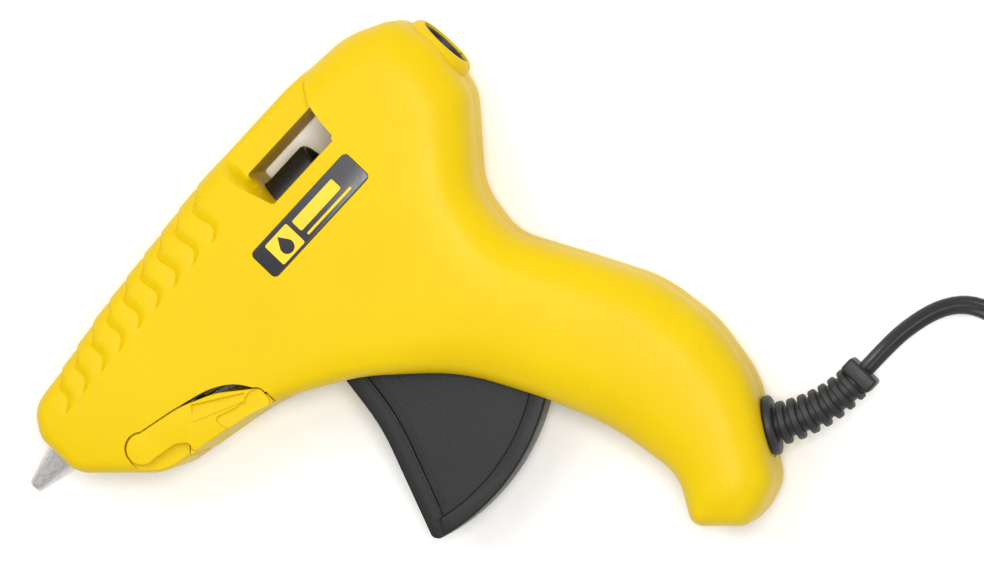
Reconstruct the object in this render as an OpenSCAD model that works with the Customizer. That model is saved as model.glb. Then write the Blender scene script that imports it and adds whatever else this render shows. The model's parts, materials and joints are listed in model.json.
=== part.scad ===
// Hot-melt glue gun: two-part housing, trigger-driven stick feed, heated chamber, fold-out stand.
// Working frame: x runs back from the nozzle tip, y up from the barrel axis, z out from the parting plane.
// The whole gun is then laid on its right flank, with the origin under the middle of its box.

/* [Overall] */
// Length from the nozzle tip to the rear collar
gun_l = 162.4; // [150:0.2:196]
// Drop from the barrel axis to the heel of the handle
handle_drop = 146; // [128:1:176]
// Height of the top strap above the barrel axis
strap_top = 21.6; // [20.6:0.2:26]
// Width across both housing halves
body_w = 38; // [34:0.5:46]
// Wall thickness of the moulded housing
wall = 2.4; // [1.8:0.1:2.8]

/* [Glue stick path] */
// Diameter of the glue stick
stick_d = 11.4; // [9.6:0.1:13.6]
// Outer radius of the feed carriage's tube
carriage_r = 9.5; // [9:0.1:10.4]
// Length of the feed carriage's tube
carriage_l = 36.5; // [30:0.5:38]
// Wall of the rear guide sleeve
sleeve_wall = 1; // [0.8:0.1:1.2]
// Depth of the guide sleeve behind the rear collar's rim
sleeve_depth = 1.5; // [0.5:0.1:3]

/* [Nozzle and chamber] */
// Length of bare nozzle in front of the housing
nozzle_l = 13.5; // [11:0.5:16]
// Radius of the nozzle at its tip
tip_r = 1.95; // [1.6:0.05:2.4]
// Radius of the nozzle where it leaves the housing
nozzle_r = 5.4; // [4.8:0.1:5.6]
// Radius of the outlet hole in the nozzle
outlet_r = 0.9; // [0.6:0.1:1.2]
// Outer radius of the melting chamber
chamber_r = 8; // [7.6:0.1:8.4]
// Length of the melting chamber
chamber_l = 41; // [38:0.5:44]
// Thickness of the heating element
heater_t = 2.2; // [1.8:0.1:2.6]

/* [Window] */
// Length of the open window over the barrel
window_l = 24.4; // [20:0.2:25]
// Height of the window's lower edge above the barrel axis
window_low = 3.1; // [2:0.1:4.5]
// Height of the window's upper edge above the barrel axis
window_high = 13.5; // [12.5:0.1:14.5]
// Width of the top strap over the window
strap_w = 24; // [20:0.5:26]

/* [Trigger] */
// Drop from the barrel axis to the trigger's pivot
pivot_drop = 34.3; // [33:0.1:35.5]
// Distance from the rear collar forward to the trigger's pivot
pivot_back = 77.6; // [76.5:0.1:78.5]
// Radius of the trigger's lower arc about its pivot
trigger_r = 57.6; // [54:0.1:58.5]
// Angle that the trigger turns when it is pulled
pull_angle = 28; // [22:1:29]
// Width across the finger flange
flange_w = 18; // [15:0.5:19]
// Thickness of the trigger's web
web_t = 9; // [7:0.5:11]
// Radius of the trigger's pivot pin
pivot_pin_r = 2; // [1.6:0.1:2.4]
// Radius of the pin that the trigger's fork drives
drive_pin_r = 1.5; // [1.2:0.1:1.8]

/* [Stand] */
// Distance from the nozzle tip to the stand's pivot
stand_x = 31; // [30:0.1:31.5]
// Drop from the barrel axis to the stand's pivot
stand_drop = 16; // [15.6:0.1:16.4]
// Thickness of the stand's two arms
stand_t = 2.3; // [1.8:0.1:2.5]
// Radius of the stand's pivot stubs
stub_r = 2.5; // [2:0.1:3]

/* [Label] */
// Length of each label
label_l = 37.2; // [30:0.2:38]
// Height of each label
label_h = 9.2; // [7.6:0.1:9.6]
// Thickness of each label
label_t = 0.5; // [0.3:0.1:0.6]

/* [Screws] */
// Radius of the screws' threaded shanks
screw_r = 1.2; // [1:0.05:1.4]
// Radius of the screws' heads
screw_head_r = 2.6; // [2.2:0.1:2.8]

/* [Cord] */
// Width of the flat twin cord
cord_w = 5.4; // [4.8:0.1:6]
// Thickness of the flat twin cord
cord_t = 2.8; // [2.4:0.1:3.2]
// Radius at the middle of the coil's turns
coil_r = 28; // [24:0.5:31]
// Width of the coil's bundle of turns
coil_w = 12.4; // [10:0.2:16]
// Height of the coil's bundle of turns
coil_h = 11.4; // [8:0.2:14]

/* [Hidden] */
$fn = 48;
eps = 0.05;

// Clearances
run_gap = 0.05;
slide_gap = 0.35;
seat_gap = 0.1;

half_w = body_w / 2;
room = half_w - wall;
stick_r = stick_d / 2;
heel_y = -handle_drop;
rear_x = gun_l;
pivot = [rear_x - pivot_back, -pivot_drop];

// Glue stick path, from the rear collar to the nozzle
guide_bore_r = stick_r + 0.7;
guide_r = guide_bore_r + sleeve_wall;
carriage_bore_r = stick_r + 1.3;
window_rear = rear_x - 35.4;
window_front = window_rear - window_l;
carriage_back = window_rear - 10;
carriage_front = carriage_back - carriage_l;
pin_drop = carriage_r + 3;
fork_h = pivot_drop - pin_drop;
stroke = 2 * fork_h * tan(pull_angle / 2);
drive_pin = [pivot.x + stroke / 2, -pin_drop];
chamber_x = nozzle_l + 2.3;
chamber_back = chamber_x + chamber_l;
neck_r = chamber_r - 0.8;
neck_l = 7;
inlet_back = carriage_front - stroke - 0.7;
inlet_r = neck_r + 2;
yoke_x = [nozzle_l + 5, chamber_back + 3];
yoke_t = 3;
yoke_r = [chamber_r + 2.2, inlet_r + 2.8];

echo(stroke = stroke, ratio = stroke / (pull_angle * PI / 180), drive_pin = drive_pin, pivot = pivot);

// Housing outline as [x, y, fillet radius], clockwise from the foot of the nose's front face
outline = [
    [nozzle_l, -5.6, 1.5], [nozzle_l, 6.4, 2.5], [18.2, 12.9, 4], [48, 17.6, 60],
    [90, strap_top, 80], [rear_x - 36.4, strap_top, 60], [rear_x - 15.5, 19.8, 24],
    [rear_x - 3.4, 13.6, 8], [rear_x + 0.6, 1, 14], [rear_x - 3.6, -14.5, 13],
    [rear_x - 20.9, -33, 18], [rear_x - 23.4, -47.6, 16], [rear_x - 13.4, -67.2, 60],
    [rear_x - 5, -84.5, 36], [rear_x - 3, heel_y + 44, 34], [rear_x - 6.4, heel_y + 26, 30],
    [rear_x - 22.4, heel_y + 2.2, 9], [rear_x - 30, heel_y, 8], [rear_x - 35.8, heel_y, 2.5],
    [rear_x - 45.8, heel_y + 10.4, 2.5], [rear_x - 38.4, heel_y + 22, 14],
    [rear_x - 41.6, heel_y + 44, 80], [rear_x - 48.4, -84.5, 80], [rear_x - 59, -63, 60],
    [rear_x - 77.4, -45, 60], [66, -33.4, 40], [50, -28.9, 30], [30.5, -24.9, 5], [14.8, -8.6, 2.5]
];

// Depth from the flank and inset of each step of the rounded flank edge
edge_steps = [[0, 3.2], [0.7, 1.9], [1.6, 0.9], [3, 0]];

function unit(v) = v / norm(v);
function flat(v) = [v[0], v[1]];
function cross_z(a, b) = a[0] * b[1] - a[1] * b[0];
function arc(centre, r, from, to, steps) =
    [for (k = [0:steps]) let(a = from + (to - from) * k / steps) centre + r * [cos(a), sin(a)]];

// The points of one rounded corner between its two neighbours
function fillet(p, before, after, steps) =
    let(ua = unit(flat(before) - flat(p)),
        ub = unit(flat(after) - flat(p)),
        half = acos(max(-1, min(1, ua * ub))) / 2,
        longest = 0.49 * min(norm(flat(before) - flat(p)), norm(flat(after) - flat(p))),
        reach = min(p[2] / tan(half), longest),
        r = reach * tan(half),
        centre = flat(p) + unit(ua + ub) * r / sin(half),
        start = flat(p) + ua * reach - centre,
        end = flat(p) + ub * reach - centre,
        from = atan2(start.y, start.x),
        sweep = (180 - 2 * half) * sign(cross_z(start, end)))
    p[2] == 0 || half > 89.5 ? [flat(p)] : arc(centre, r, from, from + sweep, steps);

// A closed list of corners as a polygon's points
function rounded(corners, steps = 5) =
    let(n = len(corners))
    [for (i = [0:n - 1]) each fillet(corners[i], corners[(i + n - 1) % n], corners[(i + 1) % n], steps)];

// A clockwise list of corners moved inwards by d, with its fillets kept parallel
function inset(corners, d) =
    let(n = len(corners))
    [for (i = [0:n - 1])
        let(p = corners[i],
            u = unit(flat(p) - flat(corners[(i + n - 1) % n])),
            v = unit(flat(corners[(i + 1) % n]) - flat(p)),
            nu = [u.y, -u.x],
            nv = [v.y, -v.x],
            m = d * (nu + nv) / (1 + nu * nv))
        [p[0] + m.x, p[1] + m.y, max(0.3, p[2] + (cross_z(u, v) < 0 ? -d : d))]];

// Rings of a tube along a route; each ring is an ellipse a by b, turned by turn(k) about the route
function frame_side(t) = unit(cross([0, 0, 1], t));
function tangent(path, k) =
    unit(path[min(k + 1, len(path) - 1)] - path[max(k - 1, 0)]);
function ring(path, k, a, b, spin, sides) =
    let(t = tangent(path, k), s = frame_side(t), u = cross(t, s))
    [for (j = [0:sides - 1])
        let(q = 360 * (j + 0.5) / sides, p = a * cos(q), h = b * sin(q))
        path[k] + s * (p * cos(spin) - h * sin(spin)) + u * (p * sin(spin) + h * cos(spin))];
module tube(path, a, b, sides = 8, spin_from = 0, spin_end = 1) {
    n = len(path);
    rings = [for (k = [0:n - 1]) each ring(path, k, a, b, spin_from * max(0, 1 - k / spin_end), sides)];
    sides_faces = [for (k = [0:n - 2], j = [0:sides - 1])
        let(i = k * sides, m = (j + 1) % sides)
        each [[i + j, i + m, i + sides + m], [i + j, i + sides + m, i + sides + j]]];
    first_cap = [for (j = [1:sides - 2]) [0, j + 1, j]];
    last = (n - 1) * sides;
    last_cap = [for (j = [1:sides - 2]) [last, last + j, last + j + 1]];
    polyhedron(points = rings, faces = concat(sides_faces, first_cap, last_cap));
}

// A smooth route through hand-chosen points, with steps pieces between each pair
function smooth_point(p0, p1, p2, p3, t) =
    0.5 * (2 * p1 + (p2 - p0) * t + (2 * p0 - 5 * p1 + 4 * p2 - p3) * t * t
        + (3 * p1 - p0 - 3 * p2 + p3) * t * t * t);
function smooth(points, steps) =
    let(n = len(points))
    concat(
        [for (i = [0:n - 2], k = [0:steps - 1])
            smooth_point(points[max(i - 1, 0)], points[i], points[i + 1], points[min(i + 2, n - 1)], k / steps)],
        [points[n - 1]]);

// Lays the gun on its right flank and centres its box over the origin
relief_turn = 34.5;
relief_arc_r = 41;
relief_base = [rear_x - 14, heel_y + 14.3];
relief_flange_t = 2.2;
relief_dir = [cos(relief_turn), -sin(relief_turn)];
relief_start = relief_base + relief_dir * relief_flange_t;
relief_end = relief_start + relief_arc_r * [sin(relief_turn), cos(relief_turn) - 1];
relief_block = [3.8, 9.6, 8];
relief_reach = relief_end.x + relief_block.x;
module placed() {
    translate([-relief_reach / 2, -(strap_top + heel_y) / 2, half_w]) children();
}
// Turns a shape drawn along z so that it lies along the barrel
module along_barrel(x) {
    translate([x, 0, 0]) rotate([0, 90, 0]) children();
}
module flat_piece(points, low, high) {
    translate([0, 0, low]) linear_extrude(high - low) polygon(points);
}
module upright(place, r, low, high) {
    translate([place.x, place.y, low]) cylinder(r = r, h = high - low);
}
module pipe(x0, x1, outer, inner) {
    along_barrel(x0) difference() {
        cylinder(r = outer, h = x1 - x0);
        translate([0, 0, -eps]) cylinder(r = inner, h = x1 - x0 + 2 * eps);
    }
}

// ---- Housing ----
screw_places = [
    [pivot.x - 16.8, 13.2], [pivot.x - 15.2, -28.4], [rear_x - 26.4, 14], [rear_x - 18.6, -16],
    [rear_x - 16, -76.5], [rear_x - 34.8, heel_y + 8.6]
];
boss_r = 3.2;
boss_head_depth = 9;
pilot_r = screw_r + run_gap;
pilot_depth = 10;
label_back = rear_x - 36.2;
label_top = -2.2;
guide_flange_x = rear_x - 27;
post_place = [rear_x - 38.4, -14.6];
post_r = 1.6;
rail_h = 1.2;
key_h = 1.6;
key_r = 12.5;
slot_half = flange_w / 2 + slide_gap + 0.05;
lip_bottom = carriage_r + slide_gap + 1.8;
recess_floor = half_w - stand_t - 2 * slide_gap + 0.1;
stand_pad = recess_floor - 2.2;
stand_pivot = [stand_x, -stand_drop];

// Rounded solid of one half, from the parting plane to its flank
module skin_half() {
    last = len(edge_steps) - 1;
    for (i = [0:last]) {
        low = i == last ? 0 : half_w - edge_steps[i + 1][0];
        flat_piece(rounded(inset(outline, edge_steps[i][1])), low, half_w - edge_steps[i][0]);
    }
}
module cavity_half() {
    inner = inset(outline, wall);
    flat_piece(rounded(inner), -eps, room - 1.2);
    flat_piece(rounded(inset(outline, wall + 1.1)), room - 1.3, room);
}
// Solid blocks around the window, the rear collar and the nose's front face
module inner_blocks() {
    flat_piece([[window_front - 2.5, -lip_bottom], [window_front - 2.5, strap_top],
        [window_rear + 2.4, strap_top], [window_rear + 2.4, -lip_bottom]], 0, room + eps);
    along_barrel(rear_x - 9) cylinder(r = guide_r + 4.2, h = 9);
    for (x = [rear_x - 29.5, rear_x - 13.5])
        translate([x, -15, 0]) cube([2.2, 34, room]);
    for (i = [0, 1])
        translate([yoke_x[i], -yoke_r[i] - 1.8, 0]) cube([yoke_t, 2 * yoke_r[i] + 3.6, room]);
    for (side = [-1, 1])
        translate([inlet_back, side * (key_h + slide_gap + rail_h / 2) - rail_h / 2, carriage_r + 0.7])
            cube([window_front - inlet_back, rail_h, room - carriage_r - 0.7]);
}
module bosses_half() {
    for (p = screw_places) upright(p, boss_r, 0, room + eps);
    upright(pivot, pivot_pin_r + 2.6, flange_w / 2 - 0.7, room + eps);
    upright(stand_pivot, stub_r + 2.2, stand_pad - 2.4, recess_floor);
    flat_piece(rounded(inset(stand_side, -2)), stand_pad, room + eps);
    flat_piece(stand_floor, 0, room + eps);
}
// Everything that both halves have cut away
module openings_half() {
    window = [[window_front, window_low], [window_front, window_high],
        [window_rear + 1.3, window_high], [window_rear + 0.4, window_low + 4.9], [window_rear, window_low]];
    flat_piece(window, -eps, half_w + eps);
    shoulder = [[window_front - 2.6, strap_top + 1], [window_front - 2.6, window_high],
        [window_front, window_low], [window_rear, window_low], [window_rear + 0.4, window_low + 4.9],
        [window_rear + 1.6, window_high + 0.4], [window_rear + 4, window_high + 4.7],
        [window_rear + 7, strap_top + 1]];
    flat_piece(shoulder, strap_w / 2, half_w + eps);
    along_barrel(window_front - 2.6) cylinder(r = carriage_r + slide_gap + 0.1, h = window_rear - window_front + 2.6);
    along_barrel(window_rear - eps) cylinder(r = guide_r + seat_gap, h = rear_x + 2 - window_rear);
    along_barrel(nozzle_l - 1) cylinder(r = nozzle_r + 0.4, h = 5);
    along_barrel(chamber_x - 0.3) cylinder(r = chamber_r + 0.3, h = 6);
    along_barrel(yoke_x[0] - eps) cylinder(r = yoke_r[0] + seat_gap, h = yoke_t + 2 * eps);
    along_barrel(yoke_x[1] - eps) cylinder(r = yoke_r[1] + seat_gap, h = yoke_t + 2 * eps);
    upright(stand_pivot, stub_r + run_gap, stand_pad - 2.6, recess_floor + eps);
    upright(pivot, pivot_pin_r + run_gap, flange_w / 2 - 1, room);
    trigger_slot();
    stand_bay();
    flat_piece(rounded(inset(label_corners, -0.25)), half_w - label_t - 0.1, half_w + eps);
    relief_hole();
}
// The slot that the trigger swings in, drawn about the trigger's pivot
module trigger_slot() {
    sweep_r = trigger_r + slide_gap + 0.25;
    points = concat(arc(pivot, sweep_r, -134, -24, 24), arc(pivot, hub_r + 1, -24, -134, 6));
    flat_piece(points, -eps, slot_half);
}
module relief_hole() {
    translate([relief_base.x, relief_base.y, 0]) rotate([0, 90, -relief_turn]) {
        translate([0, 0, -12]) cylinder(r = 5.2, h = 14);
        translate([0, 0, -0.4]) cylinder(r = 8.5, h = 8);
    }
}

// ---- Stand ----
// Side view of the stand's arm, clockwise
stand_side = [
    [stand_x + 2, -stand_drop + 3.4, 0.5], [stand_x + 15, -stand_drop + 0.4, 25],
    [stand_x + 24.5, -stand_drop - 4.1, 20], [stand_x + 33.8, -stand_drop - 11.9, 2.5],
    [stand_x + 33.2, -stand_drop - 17, 1.2], [stand_x + 27, -stand_drop - 14.7, 20],
    [stand_x + 20, -stand_drop - 13, 30], [stand_x + 8.6, -stand_drop - 10.6, 0.3],
    [stand_x + 10.2, -stand_drop - 8.2, 3], [stand_x + 7.2, -stand_drop - 5.6, 3],
    [stand_x, -stand_drop - 4.1, 0.5]
];
stand_end_r = 4.2;
plate_r = 12.9;
stand_plate = [
    [stand_x + 7.5, -stand_drop - 10.5], [stand_x + 10.6, -stand_drop - 7.4], [stand_x + 21, -stand_drop - 10.3],
    [stand_x + 33.9, -stand_drop - 14], [stand_x + 33.4, -stand_drop - 17.1], [stand_x + 27, -stand_drop - 14.7],
    [stand_x + 20, -stand_drop - 13]
];
// Floor of the housing above the folded plate, and the space cut below it
stand_line = [
    [stand_x + 10.2, -stand_drop - 6.9], [stand_x + 21, -stand_drop - 9.9],
    [stand_x + 34.6, -stand_drop - 13.8]
];
stand_floor = concat(stand_line, [for (i = [2:-1:0]) stand_line[i] + [0.5, 2.4]]);
module stand_bay() {
    grown = concat(stand_line, [[stand_x + 34.6, -stand_drop - 24], [stand_x + 10.2, -stand_drop - 24]]);
    flat_piece(grown, -eps, half_w + eps);
    swing = concat(arc(stand_pivot, plate_r - 0.4, -34, -80, 9), [stand_pivot + [2.2, -30], stand_pivot + [24, -30]]);
    flat_piece(swing, -eps, half_w + eps);
    flat_piece(rounded(inset(stand_side, -slide_gap)), recess_floor, half_w + eps);
    upright(stand_pivot, stand_end_r + 0.5, recess_floor, half_w + eps);
    below = [[stand_x - 4.9, -stand_drop], [stand_x + 12, -stand_drop], [stand_x + 12, -stand_drop - 14],
        [stand_x - 4.9, -stand_drop - 14]];
    flat_piece(below, recess_floor, half_w + eps);
}
module stand() {
    outer = half_w - slide_gap;
    inner = outer - stand_t;
    color("gold") placed() {
        for (side = [0, 1]) mirror([0, 0, side]) {
            translate([0, 0, inner]) linear_extrude(stand_t) union() {
                difference() {
                    polygon(rounded(stand_side));
                    translate(stand_pivot) circle(r = stand_end_r - 0.1);
                }
                translate(stand_pivot) circle(r = stand_end_r);
            }
            upright(stand_pivot, stub_r, stand_pad - 1.6, inner + eps);
        }
        difference() {
            flat_piece(stand_plate, -inner - eps, inner + eps);
            translate([stand_x, -stand_drop, -half_w]) cylinder(r = plate_r, h = body_w);
        }
    }
}

module half_shell() {
    difference() {
        union() {
            difference() {
                skin_half();
                cavity_half();
            }
            intersection() {
                skin_half();
                union() {
                    inner_blocks();
                    bosses_half();
                }
            }
        }
        openings_half();
    }
}
module housing_left() {
    color("gold") placed() difference() {
        half_shell();
        for (p = screw_places) upright(p, pilot_r, -eps, pilot_depth);
    }
}
module housing_right() {
    color("gold") placed() union() {
        mirror([0, 0, 1]) difference() {
            half_shell();
            for (p = screw_places) {
                upright(p, screw_r + 0.3, -eps, half_w + eps);
                upright(p, screw_head_r + 0.3, half_w - boss_head_depth, half_w + eps);
            }
        }
        upright(post_place, post_r, -room - eps, 4);
        for (p = clamp_places) difference() {
            upright(p, clamp_post_r, -room - eps, clamp_low);
            upright(p, pilot_r, clamp_low - 8, clamp_low + eps);
        }
    }
}
module housing_screws() {
    head_t = 2;
    head_z = -half_w + boss_head_depth;
    color("silver") placed() for (p = screw_places) {
        upright(p, screw_head_r, head_z - head_t, head_z);
        upright(p, screw_r, head_z - eps, pilot_depth - 1);
    }
}

// ---- Labels ----
label_corners = [
    [label_back - label_l, label_top - label_h, 1.4], [label_back - label_l, label_top, 1.4],
    [label_back, label_top, 1.4], [label_back, label_top - label_h, 1.4]
];
module label_plate() {
    flat_piece(rounded(label_corners), half_w - label_t - 0.1, half_w - 0.1);
}
module label_left() {
    color("#2c2c30") placed() label_plate();
}
module label_right() {
    color("silver") placed() mirror([0, 0, 1]) label_plate();
}

// ---- Nozzle and valve ----
shank_r = 4.4;
shank_l = 8;
channel_r = 2.2;
module nozzle() {
    back = chamber_x + shank_l;
    profile = [[outlet_r, 0], [tip_r, 0], [nozzle_r, nozzle_l], [nozzle_r, chamber_x], [shank_r, chamber_x],
        [shank_r, back], [channel_r, back], [channel_r, 7], [outlet_r, 5.5]];
    color("silver") placed() along_barrel(0) rotate_extrude() polygon(profile);
}
ball_x = chamber_x + shank_l - 2.4;
ball_r = 1.7;
module valve_ball() {
    color("lightgrey") placed() translate([ball_x, 0, 0]) sphere(r = ball_r);
}
function helix(x0, x1, r, turns, steps) =
    [for (k = [0:turns * steps])
        [x0 + (x1 - x0) * k / (turns * steps), r * cos(360 * k / steps), r * sin(360 * k / steps)]];
module valve_spring() {
    color("grey") placed() tube(helix(8, ball_x - ball_r - 0.5, channel_r - 0.5, 5, 8), 0.22, 0.22, 6);
}

// ---- Melting chamber and heater ----
block_x = chamber_x + 10;
block_l = chamber_l - neck_l - 11;
film_t = 0.3;
electrode_t = 0.4;
slot_h = heater_t + 2 * electrode_t + 2 * film_t + 0.2;
block_h = slot_h + 2 * 1.7;
heater_w = 8.4;
heater_l = 20;
heater_y = -chamber_r - 4.6;
module melting_chamber() {
    bore = stick_r + 0.2;
    cone_x = chamber_x + 14;
    hollow = [[0, chamber_x - eps], [shank_r + run_gap, chamber_x - eps], [shank_r + run_gap, chamber_x + shank_l],
        [channel_r + 0.4, chamber_x + shank_l], [bore, cone_x + 6], [bore, chamber_back + eps], [0, chamber_back + eps]];
    color("lightslategrey") placed() difference() {
        union() {
            along_barrel(chamber_x) cylinder(r = chamber_r, h = chamber_l - neck_l);
            along_barrel(chamber_back - neck_l - eps) cylinder(r = neck_r, h = neck_l + eps);
            translate([block_x, heater_y - block_h / 2, -heater_w / 2 - 1.7])
                cube([block_l, -heater_y + block_h / 2 - stick_r, heater_w + 3.4]);
        }
        along_barrel(0) rotate_extrude() polygon(hollow);
        translate([block_x - 1, heater_y - slot_h / 2, -heater_w / 2 - 0.2]) cube([block_l + 2, slot_h, heater_w + 0.4]);
    }
}
module heater_plate(l, w, t, y) {
    translate([block_x + block_l / 2 - l / 2, y - t / 2, -w / 2]) cube([l, t, w]);
}
module heater_element() {
    color("dimgrey") placed() heater_plate(heater_l, heater_w - 1, heater_t, heater_y);
}
module heater_electrodes() {
    tab = 4;
    color("peru") placed() for (side = [-1, 1]) {
        y = heater_y + side * (heater_t + electrode_t) / 2;
        heater_plate(heater_l, heater_w - 1, electrode_t, y);
        translate([block_x + block_l / 2 + heater_l / 2 - eps, y - electrode_t / 2, side * 2 - 1]) cube([tab + eps, electrode_t, 2]);
    }
}
module heater_insulation() {
    color("goldenrod") placed() for (side = [-1, 1])
        heater_plate(heater_l + 2, heater_w, film_t, heater_y + side * (heater_t + 2 * electrode_t + film_t) / 2);
}
// Spring-steel band that squeezes the heater block's slot
module heater_clip() {
    t = 0.6;
    low = heater_y - block_h / 2;
    w = heater_w / 2 + 1.7;
    color("silver") placed() translate([block_x + 8, 0, 0]) difference() {
        translate([0, low - t, -w - t]) cube([9, block_h + t - 1, 2 * w + 2 * t]);
        translate([-1, low, -w - seat_gap / 2]) cube([11, block_h + 2, 2 * w + seat_gap]);
    }
}
module chamber_supports() {
    inner = [chamber_r, inlet_r];
    color("saddlebrown") placed() for (i = [0, 1])
        pipe(yoke_x[i], yoke_x[i] + yoke_t, yoke_r[i], inner[i] + run_gap);
}
module inlet_sleeve() {
    collar_x = chamber_back - neck_l + 0.2;
    color("firebrick") placed() difference() {
        pipe(collar_x, inlet_back, inlet_r, stick_r + 0.2);
        along_barrel(collar_x - eps) cylinder(r = neck_r + run_gap, h = chamber_back - collar_x + 0.2);
    }
}
module sleeve_ring() {
    color("silver") placed() along_barrel(chamber_back - neck_l / 2)
        rotate_extrude() translate([inlet_r + 0.55, 0]) circle(r = 0.5);
}
module guide_sleeve() {
    color("#222226") placed() difference() {
        union() {
            along_barrel(window_rear + 0.6) cylinder(r = guide_r, h = rear_x - sleeve_depth - window_rear - 0.6);
            along_barrel(guide_flange_x) cylinder(r = guide_r + 1.6, h = 1.5);
        }
        along_barrel(window_rear) cylinder(r = guide_bore_r, h = rear_x - window_rear);
    }
}

// ---- Feed mechanism ----
cheek = 3.4;
jaw_slot = 1.9;
lug_back = drive_pin.x + 7.4;
module feed_carriage() {
    funnel = [[0, carriage_front - eps], [carriage_bore_r, carriage_front - eps], [carriage_bore_r, carriage_back - 2.4],
        [carriage_r - 0.9, carriage_back + eps], [0, carriage_back + eps]];
    color("#26282b") placed() difference() {
        union() {
            along_barrel(carriage_front) cylinder(r = carriage_r, h = carriage_l);
            translate([carriage_front + 1.5, -key_h, -key_r]) cube([16, 2 * key_h, 2 * key_r]);
            translate([drive_pin.x - 6, -pin_drop - 3.9, -cheek]) cube([13.4, pin_drop + 3.9, 2 * cheek]);
        }
        along_barrel(0) rotate_extrude() polygon(funnel);
        translate([carriage_front + 0.9, -pin_drop - 5, -jaw_slot]) cube([drive_pin.x + 3.4 - carriage_front - 0.9, pin_drop, 2 * jaw_slot]);
        upright(drive_pin, drive_pin_r + 0.02, -cheek - 1, cheek + 1);
        upright([lug_back - 1.6, post_place.y], 0.7, -cheek - 1, cheek + 1);
    }
}
ear_half = [3.8, 6.3];
module drive_pin() {
    color("silver") placed() upright(drive_pin, drive_pin_r, -ear_half[1], ear_half[1]);
}
module return_spring() {
    x0 = lug_back + 0.15;
    x1 = post_place.x - post_r - 0.15;
    y = post_place.y;
    coil = helix(x0 + 2.4, x1 - 2.4, 2, 14, 8);
    route = concat([[x0, 0, 0], [x0 + 1.2, 0, 0]], coil, [[x1 - 1.2, 0, 0], [x1, 0, 0]]);
    color("silver") placed() translate([0, y, 0]) tube(route, 0.35, 0.35, 6);
}
tooth_drop = stick_r + 0.7;
module gripper_jaw() {
    lever = [
        drive_pin + [-0.4, -2.4], drive_pin + [-8, 2.4], [drive_pin.x - 8.6, -tooth_drop - 0.4],
        [drive_pin.x - 7.4, -tooth_drop], [drive_pin.x - 5.6, -tooth_drop - 2], drive_pin + [1.2, 2.1]
    ];
    color("slategrey") placed() difference() {
        union() {
            flat_piece(lever, -1.5, 1.5);
            upright(drive_pin, drive_pin_r + 1, -1.5, 1.5);
        }
        upright(drive_pin, drive_pin_r + run_gap, -2, 2);
    }
}

// ---- Trigger ----
hub_r = 5.5;
hub_half = flange_w / 2 - 1;
// Side view of the trigger, clockwise from its tip, closed by an arc about its pivot
tip_angle = -108.5;
heel_angle = -57;
rim_w = 4.8;
function arc_corners(r, from, to, steps) = [for (p = arc(pivot, r, from, to, steps)) [p.x, p.y, 0]];
front_edge = [
    [pivot.x - 19.5, pivot.y - 53, 2], [pivot.x - 7.4, pivot.y - 23, 60], [pivot.x - 4.9, pivot.y - 7, 3]
];
trigger_side = concat(
    front_edge,
    [[pivot.x - 3.2, pivot.y, 1], [pivot.x + 4.6, pivot.y, 1], [pivot.x + 8.4, pivot.y - 5, 3]],
    arc_corners(trigger_r, heel_angle, tip_angle, 20));
flange_side = concat(
    front_edge,
    [[pivot.x - 1.8, pivot.y - 8.4, 1], [pivot.x - 3.8, pivot.y - 23.8, 60], [pivot.x - 15.2, pivot.y - 52, 3]],
    arc_corners(trigger_r, tip_angle + 5.5, tip_angle, 4));
rim_side = concat(
    arc_corners(trigger_r, heel_angle, tip_angle + 1, 20),
    arc_corners(trigger_r - rim_w, tip_angle + 3, heel_angle, 20));
module mid_piece(points, width) {
    flat_piece(points, -width / 2, width / 2);
}
module trigger() {
    ear_r = fork_h / cos(pull_angle / 2) + drive_pin_r + 0.1;
    arm_half = 4;
    color("#2b2b2d") placed() difference() {
        union() {
            mid_piece(rounded(trigger_side), web_t);
            mid_piece(rounded(flange_side), flange_w);
            mid_piece(rounded(rim_side), web_t + 2.8);
            upright(pivot, hub_r, -hub_half, hub_half);
            translate(pivot) rotate(90 - pull_angle / 2) translate([0, -arm_half, -ear_half[1]])
                cube([ear_r, 2 * arm_half, 2 * ear_half[1]]);
        }
        upright(pivot, pivot_pin_r + run_gap, -flange_w, flange_w);
        translate(pivot) rotate(90 - pull_angle / 2) {
            translate([fork_h - 6.2, -arm_half - 1, -ear_half[0]]) cube([ear_r, 2 * arm_half + 2, 2 * ear_half[0]]);
            translate([fork_h - drive_pin_r - 0.5, -drive_pin_r - slide_gap, -ear_half[1] - 1])
                cube([ear_r, 2 * (drive_pin_r + slide_gap), 2 * ear_half[1] + 2]);
        }
    }
}
module trigger_pin() {
    reach = half_w - wall - 0.4;
    color("silver") placed() upright(pivot, pivot_pin_r, -reach, reach);
}

// ---- Wiring inside the handle ----
inward = -relief_dir;
sheath_start = relief_base + inward * 9.2;
sheath_end = relief_base + inward * 23;
clamp_mid = relief_base + inward * 15;
clamp_across = [inward.y, -inward.x];
clamp_low = cord_t / 2 + 0.1;
clamp_post_r = 2.6;
clamp_places = [for (side = [-1, 1]) clamp_mid + clamp_across * side * 6.4];
module cord_sheath() {
    color("#333333") placed() translate([sheath_start.x, sheath_start.y, 0]) rotate(180 - relief_turn)
        rotate([90, 0, 90]) linear_extrude(norm(sheath_end - sheath_start)) square([cord_w, cord_t], center = true);
}
module cord_clamp() {
    color("ivory") placed() difference() {
        translate([clamp_mid.x, clamp_mid.y, clamp_low]) rotate(-relief_turn)
            translate([-2.5, -9, 0]) cube([5, 18, 2.4]);
        for (p = clamp_places) upright(p, screw_r + 0.2, clamp_low - 1, clamp_low + 4);
    }
}
module clamp_screws() {
    color("silver") placed() for (p = clamp_places) {
        upright(p, screw_head_r - 0.3, clamp_low + 2.4, clamp_low + 4);
        upright(p, screw_r, clamp_low - 7, clamp_low + 2.4 + eps);
    }
}
wire_z = -(half_w - 7.2);
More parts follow.
